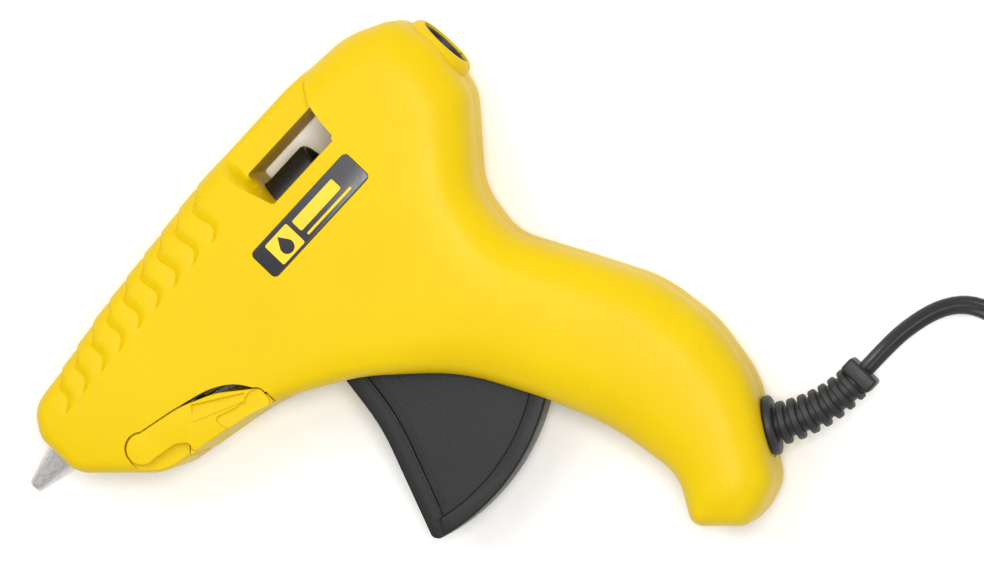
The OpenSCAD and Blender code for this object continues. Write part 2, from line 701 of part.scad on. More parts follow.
wire_gap = 1.2;
// Both leads run side by side through these points, clear of the trigger's swing
wire_route = [
    [rear_x - 32.4, heel_y + 33, wire_z / 2], [rear_x - 34, heel_y + 46, wire_z], [rear_x - 40, -78, wire_z],
    [rear_x - 51, -54, wire_z], [rear_x - 65, -27, wire_z], [pivot.x - 8, -21, wire_z], [pivot.x - 15, -20, wire_z]
];
wire_routes = [for (side = [-1, 1])
    concat([[sheath_end.x - 0.2, sheath_end.y, side * wire_gap]], [for (p = wire_route) p + side * [wire_gap, wire_gap, 0]])];
module lead_wires() {
    colours = ["black", "white"];
    placed() for (i = [0, 1]) color(colours[i]) tube(smooth(wire_routes[i], 3), 1, 1, 8);
}
crimp_l = 6;
module wire_crimps() {
    color("silver") placed() for (route = wire_routes) {
        end = route[len(route) - 1];
        translate([end.x - crimp_l, end.y, end.z]) rotate([0, 90, 0]) cylinder(r = 1.25, h = crimp_l - 0.05);
    }
}
module wire_sleeves() {
    tab_x = block_x + block_l / 2 + heater_l / 2 + 4.1;
    color("ivory") placed() for (i = [0, 1]) {
        side = 2 * i - 1;
        end = wire_routes[i][len(wire_routes[i]) - 1];
        tab = [tab_x, heater_y + side * (heater_t + electrode_t) / 2, side * 2];
        start = [end.x - crimp_l - 0.1, end.y, end.z];
        under_yoke = [min(start.x - 2.5, yoke_x[1] + 1.4), start.y + 0.5, start.z + 1];
        route = [start, under_yoke, (under_yoke + tab) / 2 + [0.25, -0.25, -2], tab + [2.5, -0.2, -0.8 * side - 1.2], tab];
        tube(smooth(route, 3), 0.7, 0.7, 8);
    }
}

// ---- Strain relief and cord ----
relief_ribs = 7;
module relief_at(angle) {
    turned = relief_turn - angle;
    place = relief_start + relief_arc_r * [sin(relief_turn) - sin(turned), cos(relief_turn) - cos(turned)];
    translate([place.x, place.y, 0]) rotate([0, 90, -turned]) children();
}
module strain_relief() {
    step = relief_turn / relief_ribs;
    color("#3a3a3a") placed() {
        translate([relief_base.x, relief_base.y, 0]) rotate([0, 90, -relief_turn]) {
            cylinder(r = 8, h = relief_flange_t);
            translate([0, 0, -9]) cylinder(r = 5.1, h = 9 + eps);
        }
        for (k = [0:2 * relief_ribs - 1]) {
            angle = k * step / 2;
            thick = relief_arc_r * step / 2 * PI / 180;
            r = k % 2 == 0 ? 4.1 : 5.8 - 0.07 * k;
            relief_at(angle) translate([0, 0, -0.15]) cylinder(r = r, h = thick + 0.35);
        }
        translate([relief_end.x - 0.1, relief_end.y - relief_block.y / 2, -relief_block.z / 2])
            cube([relief_block.x + 0.1, relief_block.y, relief_block.z]);
    }
}
floor_z = -half_w + cord_t / 2;
cord_exit = [relief_reach, relief_end.y, 0];
coil_middle = [rear_x + 75.6, heel_y - 35.4];
// Route from the strain relief down to the table and round to the coil
cord_route = [
    cord_exit, cord_exit + [3, 0, 0], cord_exit + [9, 0, -1.4], [rear_x + 29.6, heel_y + 5.5, -6],
    [rear_x + 37.6, heel_y + 3.5, -12], [rear_x + 43.6, heel_y - 1, floor_z + 1.4], [rear_x + 46.6, heel_y - 8, floor_z + 0.1],
    [rear_x + 47.6, heel_y - 16, floor_z], [rear_x + 47.6, heel_y - 26, floor_z],
    [coil_middle.x - coil_r, coil_middle.y, floor_z]
];
plug_start = [coil_middle.x + coil_r, coil_middle.y + 25];
plug_z = 6.6;
tail_route = [
    [coil_middle.x + coil_r, coil_middle.y, floor_z], [coil_middle.x + coil_r, coil_middle.y + 10, floor_z + 0.2],
    [coil_middle.x + coil_r, coil_middle.y + 16, floor_z + 1.6],
    [coil_middle.x + coil_r, plug_start.y - 2, plug_z - half_w],
    [coil_middle.x + coil_r, plug_start.y, plug_z - half_w]
];
module cord() {
    color("#2e2e2e") placed() tube(smooth(cord_route, 3), cord_w / 2, cord_t / 2, 12, 90, 14);
}
module cord_coil() {
    color("#2e2e2e") placed() translate([coil_middle.x, coil_middle.y, -half_w])
        rotate_extrude() translate([coil_r - coil_w / 2, 0]) square([coil_w, coil_h]);
}
module cord_tail() {
    color("#2e2e2e") placed() tube(smooth(tail_route, 2), cord_w / 2, cord_t / 2, 12);
}
plug_neck_l = 10;
plug_l = 24;
module plug_body() {
    w = 20;
    color("#2e2e2e") placed() translate([plug_start.x, plug_start.y, plug_z - half_w]) rotate([-90, 0, 0]) {
        cylinder(r = 4.4, h = plug_neck_l + eps);
        translate([0, 0, plug_neck_l]) linear_extrude(plug_l)
            polygon(rounded([[-w / 2, -6.4, 4], [-w / 2, 6.4, 4], [w / 2, 6.4, 4], [w / 2, -6.4, 4]]));
    }
}
module plug_blades() {
    blade = [1.5, 17.5, 6.35];
    color("silver") placed() for (side = [-1, 1])
        translate([plug_start.x + side * 6.35 - blade.x / 2, plug_start.y + plug_neck_l + plug_l, plug_z - half_w - blade.z / 2])
            cube(blade);
}

housing_left();
housing_right();
housing_screws();
label_left();
label_right();
nozzle();
valve_ball();
valve_spring();
melting_chamber();
heater_element();
heater_electrodes();
heater_insulation();
heater_clip();
chamber_supports();
inlet_sleeve();
sleeve_ring();
guide_sleeve();
trigger_pin();
cord_sheath();
cord_clamp();
clamp_screws();
lead_wires();
wire_crimps();
wire_sleeves();
strain_relief();
feed_carriage();
drive_pin();
return_spring();
gripper_jaw();
trigger();
stand();
cord();
cord_coil();
cord_tail();
plug_body();
plug_blades();
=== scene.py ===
import json
import math

import bmesh
import bpy
import numpy as np
from mathutils import Matrix, Vector
from mathutils.geometry import delaunay_2d_cdt

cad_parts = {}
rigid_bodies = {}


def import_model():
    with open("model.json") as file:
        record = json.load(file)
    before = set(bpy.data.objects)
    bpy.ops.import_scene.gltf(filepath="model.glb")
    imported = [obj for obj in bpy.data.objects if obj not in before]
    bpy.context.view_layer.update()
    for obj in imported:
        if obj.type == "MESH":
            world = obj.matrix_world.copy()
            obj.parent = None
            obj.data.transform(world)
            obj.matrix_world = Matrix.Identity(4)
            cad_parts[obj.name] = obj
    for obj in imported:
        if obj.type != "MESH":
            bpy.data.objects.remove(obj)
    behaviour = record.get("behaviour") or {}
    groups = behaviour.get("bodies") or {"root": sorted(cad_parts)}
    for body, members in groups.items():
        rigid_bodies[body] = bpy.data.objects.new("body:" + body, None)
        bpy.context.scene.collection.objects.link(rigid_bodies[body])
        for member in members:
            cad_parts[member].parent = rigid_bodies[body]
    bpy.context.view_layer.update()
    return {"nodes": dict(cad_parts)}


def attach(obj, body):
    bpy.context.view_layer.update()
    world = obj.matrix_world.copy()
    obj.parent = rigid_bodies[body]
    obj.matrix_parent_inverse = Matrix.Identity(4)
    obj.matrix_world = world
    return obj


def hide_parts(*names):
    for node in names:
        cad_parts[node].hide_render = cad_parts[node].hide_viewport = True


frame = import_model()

bl_info = {
    "name": "Hot-melt glue gun",
    "version": (1, 0, 0),
    "blender": (4, 5, 0),
    "location": "View3D > Sidebar > Glue Gun",
    "description": "Builds the moulded and turned pieces of a hot-melt glue gun over its packed frame",
    "category": "Object",
}

# Every place below is in millimetres: x back from the nozzle's tip, y up from the barrel's axis,
# w out from the parting plane between the two housing halves.
NOSE = Vector((-88.618, 62.2, 19.0))
HALF = 19.0
HEEL = -146.0
REAR = 162.4
PIVOT = Vector((84.8, -34.3))
STAND_PIVOT = Vector((31.0, -16.0))
RELIEF_BASE = Vector((148.4, -131.7))
RELIEF_DEGREES = 34.5
RELIEF_TURN = math.radians(RELIEF_DEGREES)
RELIEF_ARC = 41.0


def at(x, y, w=0.0):
    """A place on the gun as a point of the frame, in metres."""
    return (Vector((x, y, w)) + NOSE) / 1000


# ---------------------------------------------------------------- outlines
# (x, y, radius): clockwise from the nose, over the barrel and the collar, down the grip and back
HOUSING_LINE = [
    (13.5, -5.6, 3), (13.5, 6.4, 7), (18.2, 12.9, 8), (48, 17.6, 60), (90, 21.6, 80),
    (REAR - 36.4, 21.6, 60), (REAR - 15.5, 19.8, 24), (REAR - 3.4, 13.6, 8), (REAR + 0.6, 1, 14),
    (REAR - 3.6, -14.5, 13), (REAR - 20.9, -33, 18), (REAR - 23.4, -47.6, 16), (REAR - 13.4, -67.2, 60),
    (REAR - 5, -84.5, 36), (REAR - 3, HEEL + 44, 34), (REAR - 6.4, HEEL + 26, 30),
    (REAR - 22.4, HEEL + 2.2, 9), (REAR - 30, HEEL, 8), (REAR - 35.8, HEEL, 4),
    (REAR - 45.8, HEEL + 10.4, 4), (REAR - 38.4, HEEL + 22, 14), (REAR - 41.6, HEEL + 44, 80),
    (REAR - 48.4, -84.5, 80), (REAR - 59, -63, 60), (REAR - 77.4, -45, 60), (66, -33.4, 40),
    (50, -28.9, 30), (30.5, -24.9, 14), (14.8, -8.6, 8),
]
# The stand's arm without its eye, which is a disc round the pivot
STAND_LINE = [
    (33, -12.6, 0.5), (46, -15.6, 25), (55.5, -20.1, 20), (64.8, -27.9, 2.5), (64.2, -33, 1.2),
    (58, -30.7, 20), (51, -29, 30), (39.8, -26.7, 1.2), (41.3, -24.1, 3), (38.2, -21.6, 4), (31, -20.1, 0.5),
]


def arc(centre, r, start, end, steps):
    """Points along an arc, angles in degrees."""
    return [
        (centre[0] + r * math.cos(a), centre[1] + r * math.sin(a))
        for a in np.radians(np.linspace(start, end, steps + 1))
    ]


def rounded(corners, steps=6):
    """Corners (x, y, radius) as points, each corner filleted."""
    points, n = [], len(corners)
    for i, (x, y, r) in enumerate(corners):
        p, a, b = Vector((x, y)), Vector(corners[i - 1][:2]), Vector(corners[(i + 1) % n][:2])
        ua, ub = (a - p).normalized(), (b - p).normalized()
        half = math.acos(max(-1, min(1, ua.dot(ub)))) / 2
        if r == 0 or half > math.radians(89.5):
            points.append((x, y))
            continue
        reach = min(r / math.tan(half), 0.49 * min((a - p).length, (b - p).length))
        r = reach * math.tan(half)
        middle = p + (ua + ub).normalized() * r / math.sin(half)
        first, last = p + ua * reach - middle, p + ub * reach - middle
        start = math.degrees(math.atan2(first.y, first.x))
        turn = (180 - 2 * math.degrees(half)) * (1 if first.cross(last) > 0 else -1)
        points += arc(middle, r, start, start + turn, steps)
    return points


def inset(corners, d):
    """A clockwise list of corners moved inwards by d."""
    out, n = [], len(corners)
    for i, (x, y, r) in enumerate(corners):
        u = (Vector((x, y)) - Vector(corners[i - 1][:2])).normalized()
        v = (Vector(corners[(i + 1) % n][:2]) - Vector((x, y))).normalized()
        m = d * (Vector((u.y, -u.x)) + Vector((v.y, -v.x))) / (1 + u.dot(v))
        out.append((x + m.x, y + m.y, max(0.3, r + (-d if u.cross(v) < 0 else d))))
    return out


def panel(x0, y0, x1, y1, r, steps):
    """A rectangle with rounded corners."""
    return rounded([(x0, y0, r), (x0, y1, r), (x1, y1, r), (x1, y0, r)], steps)


def spaced(points, step, closed=True):
    """The same line with no stretch longer than step."""
    out, ends = [], list(points[1:]) + [points[0]] if closed else list(points[1:])
    for a, b in zip(points, ends):
        n = max(1, math.ceil(math.dist(a, b) / step))
        out += [(a[0] + (b[0] - a[0]) * k / n, a[1] + (b[1] - a[1]) * k / n) for k in range(n)]
    return np.array(out if closed else out + [points[-1]], float)


def inside(points, line):
    """Which points lie inside a closed line."""
    x, y = points[:, 0], points[:, 1]
    hit = np.zeros(len(points), bool)
    for (ax, ay), (bx, by) in zip(line, np.roll(line, -1, axis=0)):
        crosses = (ay > y) != (by > y)
        hit ^= crosses & (x < (bx - ax) * (y - ay) / ((by - ay) or 1e-12) + ax)
    return hit


def nearest(points, line, closed=True):
    """Distance of each point from a line, its side (positive on the right) and its place along it, 0 to 1."""
    a = np.asarray(line, float)
    b = np.roll(a, -1, axis=0) if closed else a[1:]
    a = a if closed else a[:-1]
    lengths = np.linalg.norm(b - a, axis=1)
    before = np.concatenate([[0], np.cumsum(lengths)])
    best, side, along = np.full(len(points), 1e9), np.ones(len(points)), np.zeros(len(points))
    for k in range(len(a)):
        u = (b[k] - a[k]) / max(lengths[k], 1e-9)
        off = points - a[k]
        t = np.clip(off @ u, 0, lengths[k])
        d = np.hypot(off[:, 0] - t * u[0], off[:, 1] - t * u[1])
        closer = d < best - 1e-9
        best[closer] = d[closer]
        side[closer] = np.sign(off[closer, 0] * u[1] - off[closer, 1] * u[0])
        along[closer] = (before[k] + t[closer]) / before[-1]
    return best, side, along


def smoothstep(t):
    t = np.clip(t, 0, 1)
    return t * t * (3 - 2 * t)


# ---------------------------------------------------------------- colours and materials
def linear(code, alpha=1.0):
    """An sRGB hex colour as linear RGBA."""
    channels = [int(code.lstrip("#")[k : k + 2], 16) / 255 for k in (0, 2, 4)]
    return [c / 12.92 if c <= 0.04045 else ((c + 0.055) / 1.055) ** 2.4 for c in channels] + [alpha]


def node(tree, kind, links=None, **settings):
    """Adds one node; links gives each input, by name or number, a value or another node's output."""
    made = tree.nodes.new(kind)
    for key, value in settings.items():
        setattr(made, key, value)
    for key, value in (links or {}).items():
        if isinstance(value, bpy.types.NodeSocket):
            tree.links.new(value, made.inputs[key])
        else:
            made.inputs[key].default_value = value
    return made


def fresh(name, **constants):
    """A new material, its node tree and its shader, with the constants set on the shader's own sockets."""
    material = bpy.data.materials.new(name)
    material.use_nodes = True
    shader = material.node_tree.nodes["Principled BSDF"]
    for key, value in constants.items():
        shader.inputs[key.replace("_", " ")].default_value = value
    return material, material.node_tree, shader


def grained(name, colour, shade, grain_mm, height, rough, spread=0.06, patch_mm=30.0, fade=0.5, **constants):
    """A moulded or cast surface: a fine grain in the height, cloudy patches in colour and gloss."""
    material, tree, shader = fresh(name, **constants)
    place = node(tree, "ShaderNodeTexCoord").outputs["Object"]
    cloud = node(tree, "ShaderNodeTexNoise", {
        "Vector": place, "Scale": 1000 / patch_mm, "Detail": 3.0, "Roughness": 0.55,
    })
    grit = node(tree, "ShaderNodeTexNoise", {
        "Vector": place, "Scale": 1000 / grain_mm, "Detail": 2.0, "Roughness": 0.6,
    })
    mixed = node(tree, "ShaderNodeMath", {0: cloud.outputs["Fac"], 1: grit.outputs["Fac"]}, operation="ADD")
    shaded = node(tree, "ShaderNodeMapRange", {
        "Value": mixed.outputs[0], "From Min": 0.75, "From Max": 1.25, "To Min": 0.0, "To Max": fade,
    })
    tint = node(tree, "ShaderNodeMix", {"Factor": shaded.outputs[0]}, data_type="RGBA")
    tint.inputs[6].default_value, tint.inputs[7].default_value = linear(colour), linear(shade)
    gloss = node(tree, "ShaderNodeMapRange", {
        "Value": mixed.outputs[0], "From Min": 0.7, "From Max": 1.3, "To Min": rough - spread,
        "To Max": rough + spread,
    })
    bump = node(tree, "ShaderNodeBump", {"Distance": height / 1000, "Height": grit.outputs["Fac"]})
    plug_in(tree, shader, tint.outputs[2], gloss.outputs[0], bump.outputs[0])
    return material


def plug_in(tree, shader, colour, gloss, bump):
    """Links a finish's colour, roughness and bump to its shader."""
    tree.links.new(colour, shader.inputs["Base Color"])
    tree.links.new(gloss, shader.inputs["Roughness"])
    tree.links.new(bump, shader.inputs["Normal"])


# ---------------------------------------------------------------- modelling helpers
def only(piece):
    """Selects one piece and nothing else."""
    for o in bpy.context.view_layer.objects:
        o.select_set(False)
    piece.select_set(True)
    bpy.context.view_layer.objects.active = piece
    return piece


def settle(piece, name, material=None, body="gun", angle=35, tidy=True):
    """Bakes a piece's place into its mesh, closes its seams, smooths it and makes it ride on its body."""
    only(piece)
    bpy.ops.object.transform_apply(location=True, rotation=True, scale=True)
    if tidy:
        bpy.ops.object.mode_set(mode="EDIT")
        bpy.ops.mesh.select_all(action="SELECT")
        bpy.ops.mesh.remove_doubles(threshold=2e-6)
        bpy.ops.mesh.normals_make_consistent(inside=False)
        bpy.ops.object.mode_set(mode="OBJECT")
    bpy.ops.object.shade_smooth_by_angle(angle=math.radians(angle))
    piece.name = piece.data.name = name
    if material:
        piece.data.materials.clear()
        piece.data.materials.append(material)
    if body:
        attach(piece, body)
    return piece


def apply_modifier(piece, kind, **settings):
    """Adds a modifier with its settings and applies it."""
    only(piece)
    made = piece.modifiers.new(kind.title(), kind)
    for key, value in settings.items():
        setattr(made, key, value)
    bpy.ops.object.modifier_apply(modifier=made.name)
    return piece


def round_edges(piece, bevel, segments=3, sharp=50):
    """Rounds a piece's sharp edges by bevel millimetres."""
    return apply_modifier(
        piece, "BEVEL", width=bevel / 1000, segments=segments,
        limit_method="ANGLE", angle_limit=math.radians(sharp),
    )


def boolean(piece, tool, operation="DIFFERENCE"):
    """Cuts a tool out of a piece, or joins it in, and removes the tool."""
    apply_modifier(piece, "BOOLEAN", operation=operation, solver="EXACT", object=tool)
    bpy.data.objects.remove(tool)
    return piece


def join(pieces):
    """Several pieces as one object."""
    only(pieces[0])
    for o in pieces:
        o.select_set(True)
    bpy.ops.object.join()
    return bpy.context.view_layer.objects.active


def edit(piece, *steps):
    """Runs edit-mode steps on the whole of a piece's mesh."""
    only(piece)
    bpy.ops.object.mode_set(mode="EDIT")
    bpy.ops.mesh.select_mode(type="VERT")
    bpy.ops.mesh.select_all(action="SELECT")
    for step in steps:
        step()
    bpy.ops.object.mode_set(mode="OBJECT")
    return piece


def bare(name, points, edges=(), faces=()):
    """An object from points in metres."""
    mesh = bpy.data.meshes.new(name)
    mesh.from_pydata([tuple(p) for p in points], list(edges), list(faces))
    made = bpy.data.objects.new(name, mesh)
    bpy.context.scene.collection.objects.link(made)
    return made


def drawn_out(name, outline, way):
    """A flat face between points of the frame, extruded along way."""
    return edit(
        bare(name, outline, faces=[tuple(range(len(outline)))]),
        lambda: bpy.ops.mesh.extrude_region_move(TRANSFORM_OT_translate={"value": way}),
        lambda: bpy.ops.mesh.select_all(action="SELECT"),
        lambda: bpy.ops.mesh.normals_make_consistent(inside=False),
    )


def prism(name, line, low, high, bevel=0.0, segments=3):
    """A flat outline drawn out from w = low to w = high, its rims rounded by bevel millimetres."""
    piece = drawn_out(name, [at(x, y, low) for x, y in line], (0, 0, (high - low) / 1000))
    return round_edges(piece, bevel, segments) if bevel else piece


def lathe(name, profile, steps=48, turn=None):
    """A profile (x along the barrel, radius) spun about the barrel's axis, then moved by turn."""
    piece = bare(name, [at(x, r) for x, r in profile], [(k, k + 1) for k in range(len(profile) - 1)])
    edit(
        piece,
        lambda: bpy.ops.mesh.spin(steps=steps, angle=2 * math.pi, center=at(0, 0), axis=(1, 0, 0)),
        lambda: bpy.ops.mesh.select_all(action="SELECT"),
        lambda: bpy.ops.mesh.remove_doubles(threshold=2e-6),
        lambda: bpy.ops.mesh.normals_make_consistent(inside=False),
    )
    if turn is not None:
        piece.data.transform(turn)
    return piece


def rod(name, x, y, r, low, high, vertices=40, bevel=0.0):
    """A round rod standing along w."""
    for o in bpy.context.view_layer.objects:
        o.select_set(False)
    bpy.ops.mesh.primitive_cylinder_add(
        vertices=vertices, radius=r / 1000, depth=(high - low) / 1000, location=at(x, y, (low + high) / 2)
    )
    piece = bpy.context.active_object
    piece.name = name
    bpy.ops.object.transform_apply(location=True, rotation=True, scale=True)
    return round_edges(piece, bevel) if bevel else piece


def block(name, low, high, bevel=0.0, turn=None):
    """A box between two corners, its edges rounded."""
    for o in bpy.context.view_layer.objects:
        o.select_set(False)
    lo, hi = Vector(low), Vector(high)
    bpy.ops.mesh.primitive_cube_add(size=1, location=at(*((lo + hi) / 2)), scale=(hi - lo) / 1000)
    piece = bpy.context.active_object
    piece.name = name
    bpy.ops.object.transform_apply(location=True, rotation=True, scale=True)
    if bevel:
        round_edges(piece, bevel)
    if turn is not None:
        piece.data.transform(turn)
    return piece


def moved(origin, turn, goal):
    """The move that turns about origin and takes it to goal."""
    return Matrix.Translation(goal) @ turn @ Matrix.Translation(-origin)


def mirrored(piece, name):
    """A copy of a piece on the other side of the parting plane."""
    copy = piece.copy()
    copy.data = piece.data.copy()
    copy.name = name
    bpy.context.scene.collection.objects.link(copy)
    middle = at(0, 0)
    copy.data.transform(moved(middle, Matrix.Diagonal((1, 1, -1, 1)), middle))
    copy.data.flip_normals()
    return copy


def placed(x, y, degrees, w=0.0):
    """The move that takes a piece drawn at the nozzle's tip to another place, turned in the parting plane."""
    return moved(at(0, 0), Matrix.Rotation(math.radians(degrees), 4, "Z"), at(x, y, w))


# ---------------------------------------------------------------- housing halves
# FLANK and STRAP are the flat heights over the parting plane, and SEAM is the depth of the chamfer at it.
# The sheet's points are GRID apart, and the rolled edge has its own rings down from STEEPEST degrees.
# ROLLS gives (x, y, radius of the rolled edge there).
ROLLS = [
    (15, 0, 5), (50, 12, 7), (50, -22, 4.5), (90, 14, 8.5), (95, -30, 7), (150, 4, 13), (155, -14, 12),
    (125, -60, 12), (140, -100, 13), (130, -138, 9),
]
FLANK = 18.9
STRAP = 12.0
STRAP_FOOT = 2.9
STRAP_ROLL = 2.4
SEAM = 0.08
GRID = 0.95
STEEPEST = 58
RIDGE = [(99.1, 26), (99.1, 13.9), (102.6, 2.9)]
RAMP_FOOT = [(102.6, 26), (102.6, 2.9)]
HEAD_EDGE = [(126.4, 3.2), (127.4, 8), (128.3, 13.5), (130.7, 18.1), (133, 20.3), (137, 26)]
HEAD_FOOT = [(125.8, 3.2), (126.6, 8.1), (127.5, 13.7), (129.9, 18.6), (132, 20.9), (136, 26.6)]
# One scallop at the rear and one at the front of the row, as offsets from the tip of its curl
SCALLOP_REAR = [
    (8.6, 17.4), (6.8, 12.8), (4.1, 10.9), (3.1, 10.2), (3.2, 8.3), (4.2, 4.0), (4.3, 2.9), (3.7, 1.5),
    (2.3, 0.5), (0, 0),
]
SCALLOP_FRONT = [
    (8.2, 12.6), (6.8, 9.3), (5.2, 7.4), (4.5, 6.9), (4.2, 5.9), (4.3, 4.2), (4.1, 2.6), (3.3, 1.5),
    (2.0, 0.6), (0, 0),
]
SCALLOP_X = [83.1, 75.2, 67.5, 60.0, 52.4, 45.0, 37.5, 30.1, 23.1]


def scallops():
    """The crease line of each scallop, from above the top edge down to the tip of its curl."""
    lines = []
    for k, x in enumerate(SCALLOP_X):
        t = k / (len(SCALLOP_X) - 1)
        y = 7.6 + (5.3 - 7.6) * t
        line = [
            (x + a[0] * (1 - t) + b[0] * t, y + a[1] * (1 - t) + b[1] * t)
            for a, b in zip(SCALLOP_REAR, SCALLOP_FRONT)
        ]
        lines.append(spaced(line, 0.45, closed=False))
    return lines


def offset_line(line, d):
    """An open line moved to its left by d, or by one d for each point."""
    line = np.asarray(line, float)
    step = np.gradient(line, axis=0)
    step /= np.linalg.norm(step, axis=1)[:, None]
    return line + np.stack([-step[:, 1], step[:, 0]], 1) * np.asarray(d).reshape(-1, 1)


def scallop_ramp(along):
    """Width of the ramp behind a scallop's crease, from its top to its tip."""
    return np.interp(along, [0, 0.25, 0.45, 0.72, 0.86, 1], [1.0, 1.3, 2.1, 1.9, 0.8, 0.3])


def scallop_depth(along):
    """Depth of a scallop's crease, from its top to its tip."""
    return np.interp(along, [0, 0.15, 0.3, 0.5, 0.75, 0.9, 1], [0.4, 0.5, 0.95, 1.0, 0.95, 0.7, 0.0])


def strap_share(points):
    """1 on the strap over the window, 0 on the body, and between on the ramp and the head's step."""
    (ridge, ridge_side), (foot, foot_side), (head, head_side), (base, base_side) = (
        nearest(points, line, closed=False)[:2] for line in (RIDGE, RAMP_FOOT, HEAD_EDGE, HEAD_FOOT)
    )
    ramp = np.where(ridge_side < 0, smoothstep(ridge / np.maximum(ridge + foot, 1e-6)), 0.0)
    step = np.where(head_side < 0, head / np.maximum(head + base, 1e-6), 0.0)
    share = np.minimum(np.where(foot_side < 0, 1.0, ramp), np.where(base_side < 0, 1.0, step))
    return np.where(points[:, 1] > STRAP_FOOT, share, 0.0)


def roll_radius(points):
    """Radius of the rolled edge at each point, a mean of ROLLS that the nearest places lead."""
    weight = np.array(
        [[1 / ((px - x) ** 2 + (py - y) ** 2 + 60) ** 1.5 for px, py in points] for x, y, _ in ROLLS]
    )
    return (weight * np.array([r for _, _, r in ROLLS])[:, None]).sum(0) / weight.sum(0)


def body_height(d, r, flank):
    """Height over the parting plane at distance d from the outline, for a rolled edge of radius r."""
    roll = np.sqrt(np.clip(1 - (1 - np.clip(d / r, 0, 1)) ** 2, 0, 1))
    crown = 0.7 * smoothstep((d - r * 0.5) / 16)
    return flank - 0.7 - 0.92 * r * (1 - roll) + crown


def softened_height(outline, points):
    """The body's height averaged over a few millimetres, at each point."""
    left, low = 10.0, HEEL - 3
    x, y = np.meshgrid(np.arange(left, 168.0), np.arange(low, 26.0), indexing="ij")
    grid = np.stack([x.ravel(), y.ravel()], 1)
    d, _, _ = nearest(grid, outline)
    within = inside(grid, outline).astype(float).reshape(x.shape)
    total = within * body_height(d, roll_radius(grid), FLANK).reshape(x.shape)
    for _ in range(10):
        for axis in (0, 1):
            total = 0.5 * total + 0.25 * (np.roll(total, 1, axis) + np.roll(total, -1, axis))
            within = 0.5 * within + 0.25 * (np.roll(within, 1, axis) + np.roll(within, -1, axis))
    mean = total / np.maximum(within, 1e-9)
    u, v = points[:, 0] - left, points[:, 1] - low
    i, j = np.clip(u.astype(int), 0, x.shape[0] - 2), np.clip(v.astype(int), 0, x.shape[1] - 2)
    s, t = u - i, v - j
    below = mean[i, j] * (1 - s) + mean[i + 1, j] * s
    above = mean[i, j + 1] * (1 - s) + mean[i + 1, j + 1] * s
    return below * (1 - t) + above * t


def crease_lines(creases):
    """The lines that the sheet's edges follow: the strap's ramp and step, and the scallops."""
    lines = [spaced(RIDGE, 0.8, False), spaced(RAMP_FOOT, 0.8, False)]
    lines += [spaced(HEAD_EDGE, 0.5, False), spaced(HEAD_FOOT, 0.5, False)]
    for crease in creases:
        along = np.linspace(0, 1, len(crease))
        lines += [crease, offset_line(crease, scallop_ramp(along))[:-2], offset_line(crease, -0.35)[:-1]]
    return lines


def sheet(outline, inward, creases):
    """Points and faces of a sheet over the outline, close-set along the rolled edge and the creases."""
    n = len(outline)
    spots = []
    r_edge = roll_radius(outline)
    for angle in (14, 25, 36, 47, STEEPEST):
        deep = r_edge * (1 - math.cos(math.radians(angle)))
        ring = outline + inward * deep[:, None]
        d, _, _ = nearest(ring, outline)
        spots.append(ring[(d > deep * 0.96) & inside(ring, outline)])
    x, y = np.meshgrid(np.arange(12, 164, GRID), np.arange(HEEL, 23, GRID))
    grid = np.stack([x.ravel() + 0.47 * (np.round(y.ravel() / GRID) % 2), y.ravel()], 1)
    grid = grid[inside(grid, outline)]
    d, _, _ = nearest(grid, outline)
    grid = grid[d > roll_radius(grid) * (1 - math.cos(math.radians(STEEPEST))) + 0.55]
    lines = crease_lines(creases)
    keep_away = np.concatenate(lines)
    clear = np.ones(len(grid), bool)
    near = (grid[:, 1] > 2) & (grid[:, 0] < 140)
    gap = np.min(np.linalg.norm(grid[near][:, None] - keep_away[None], axis=2), axis=1)
    clear[np.where(near)[0][gap < 0.4]] = False
    spots.append(grid[clear])
    points, edges = [tuple(p) for p in outline], [(i, (i + 1) % n) for i in range(n)]
    for line in lines:
        line = line[inside(line, outline)]
        d_line, _, _ = nearest(line, outline)
        line = line[d_line > 0.05]
        start = len(points)
        points += [tuple(p) for p in line]
        runs = [k for k in range(len(line) - 1) if math.dist(line[k], line[k + 1]) < 2.5]
        edges += [(start + k, start + k + 1) for k in runs]
    points += [tuple(p) for group in spots for p in group]
    flat, _, faces, *_ = delaunay_2d_cdt([Vector(p) for p in points], edges, [], 1, 1e-4)
    flat = np.array([tuple(p) for p in flat])
    middle = np.array([flat[list(f)].mean(0) for f in faces])
    return flat, [f for f, keep in zip(faces, inside(middle, outline)) if keep]


def press_depth(flat, creases):
    """How deep the scallops press the sheet at each point."""
    press = np.zeros(len(flat))
    for crease in creases:
        away, side, along = nearest(flat, crease, closed=False)
        wide, deep = scallop_ramp(along), scallop_depth(along)
        behind_it = deep * np.interp(away / wide, [0, 0.15, 1], [1, 0.8, 0])
        ahead_of_it = deep * np.interp(away, [0, 0.35, 1.2, 3.6], [1, 0.5, 0.3, 0])
        press = np.maximum(press, np.where(side < 0, behind_it, ahead_of_it))
    return press


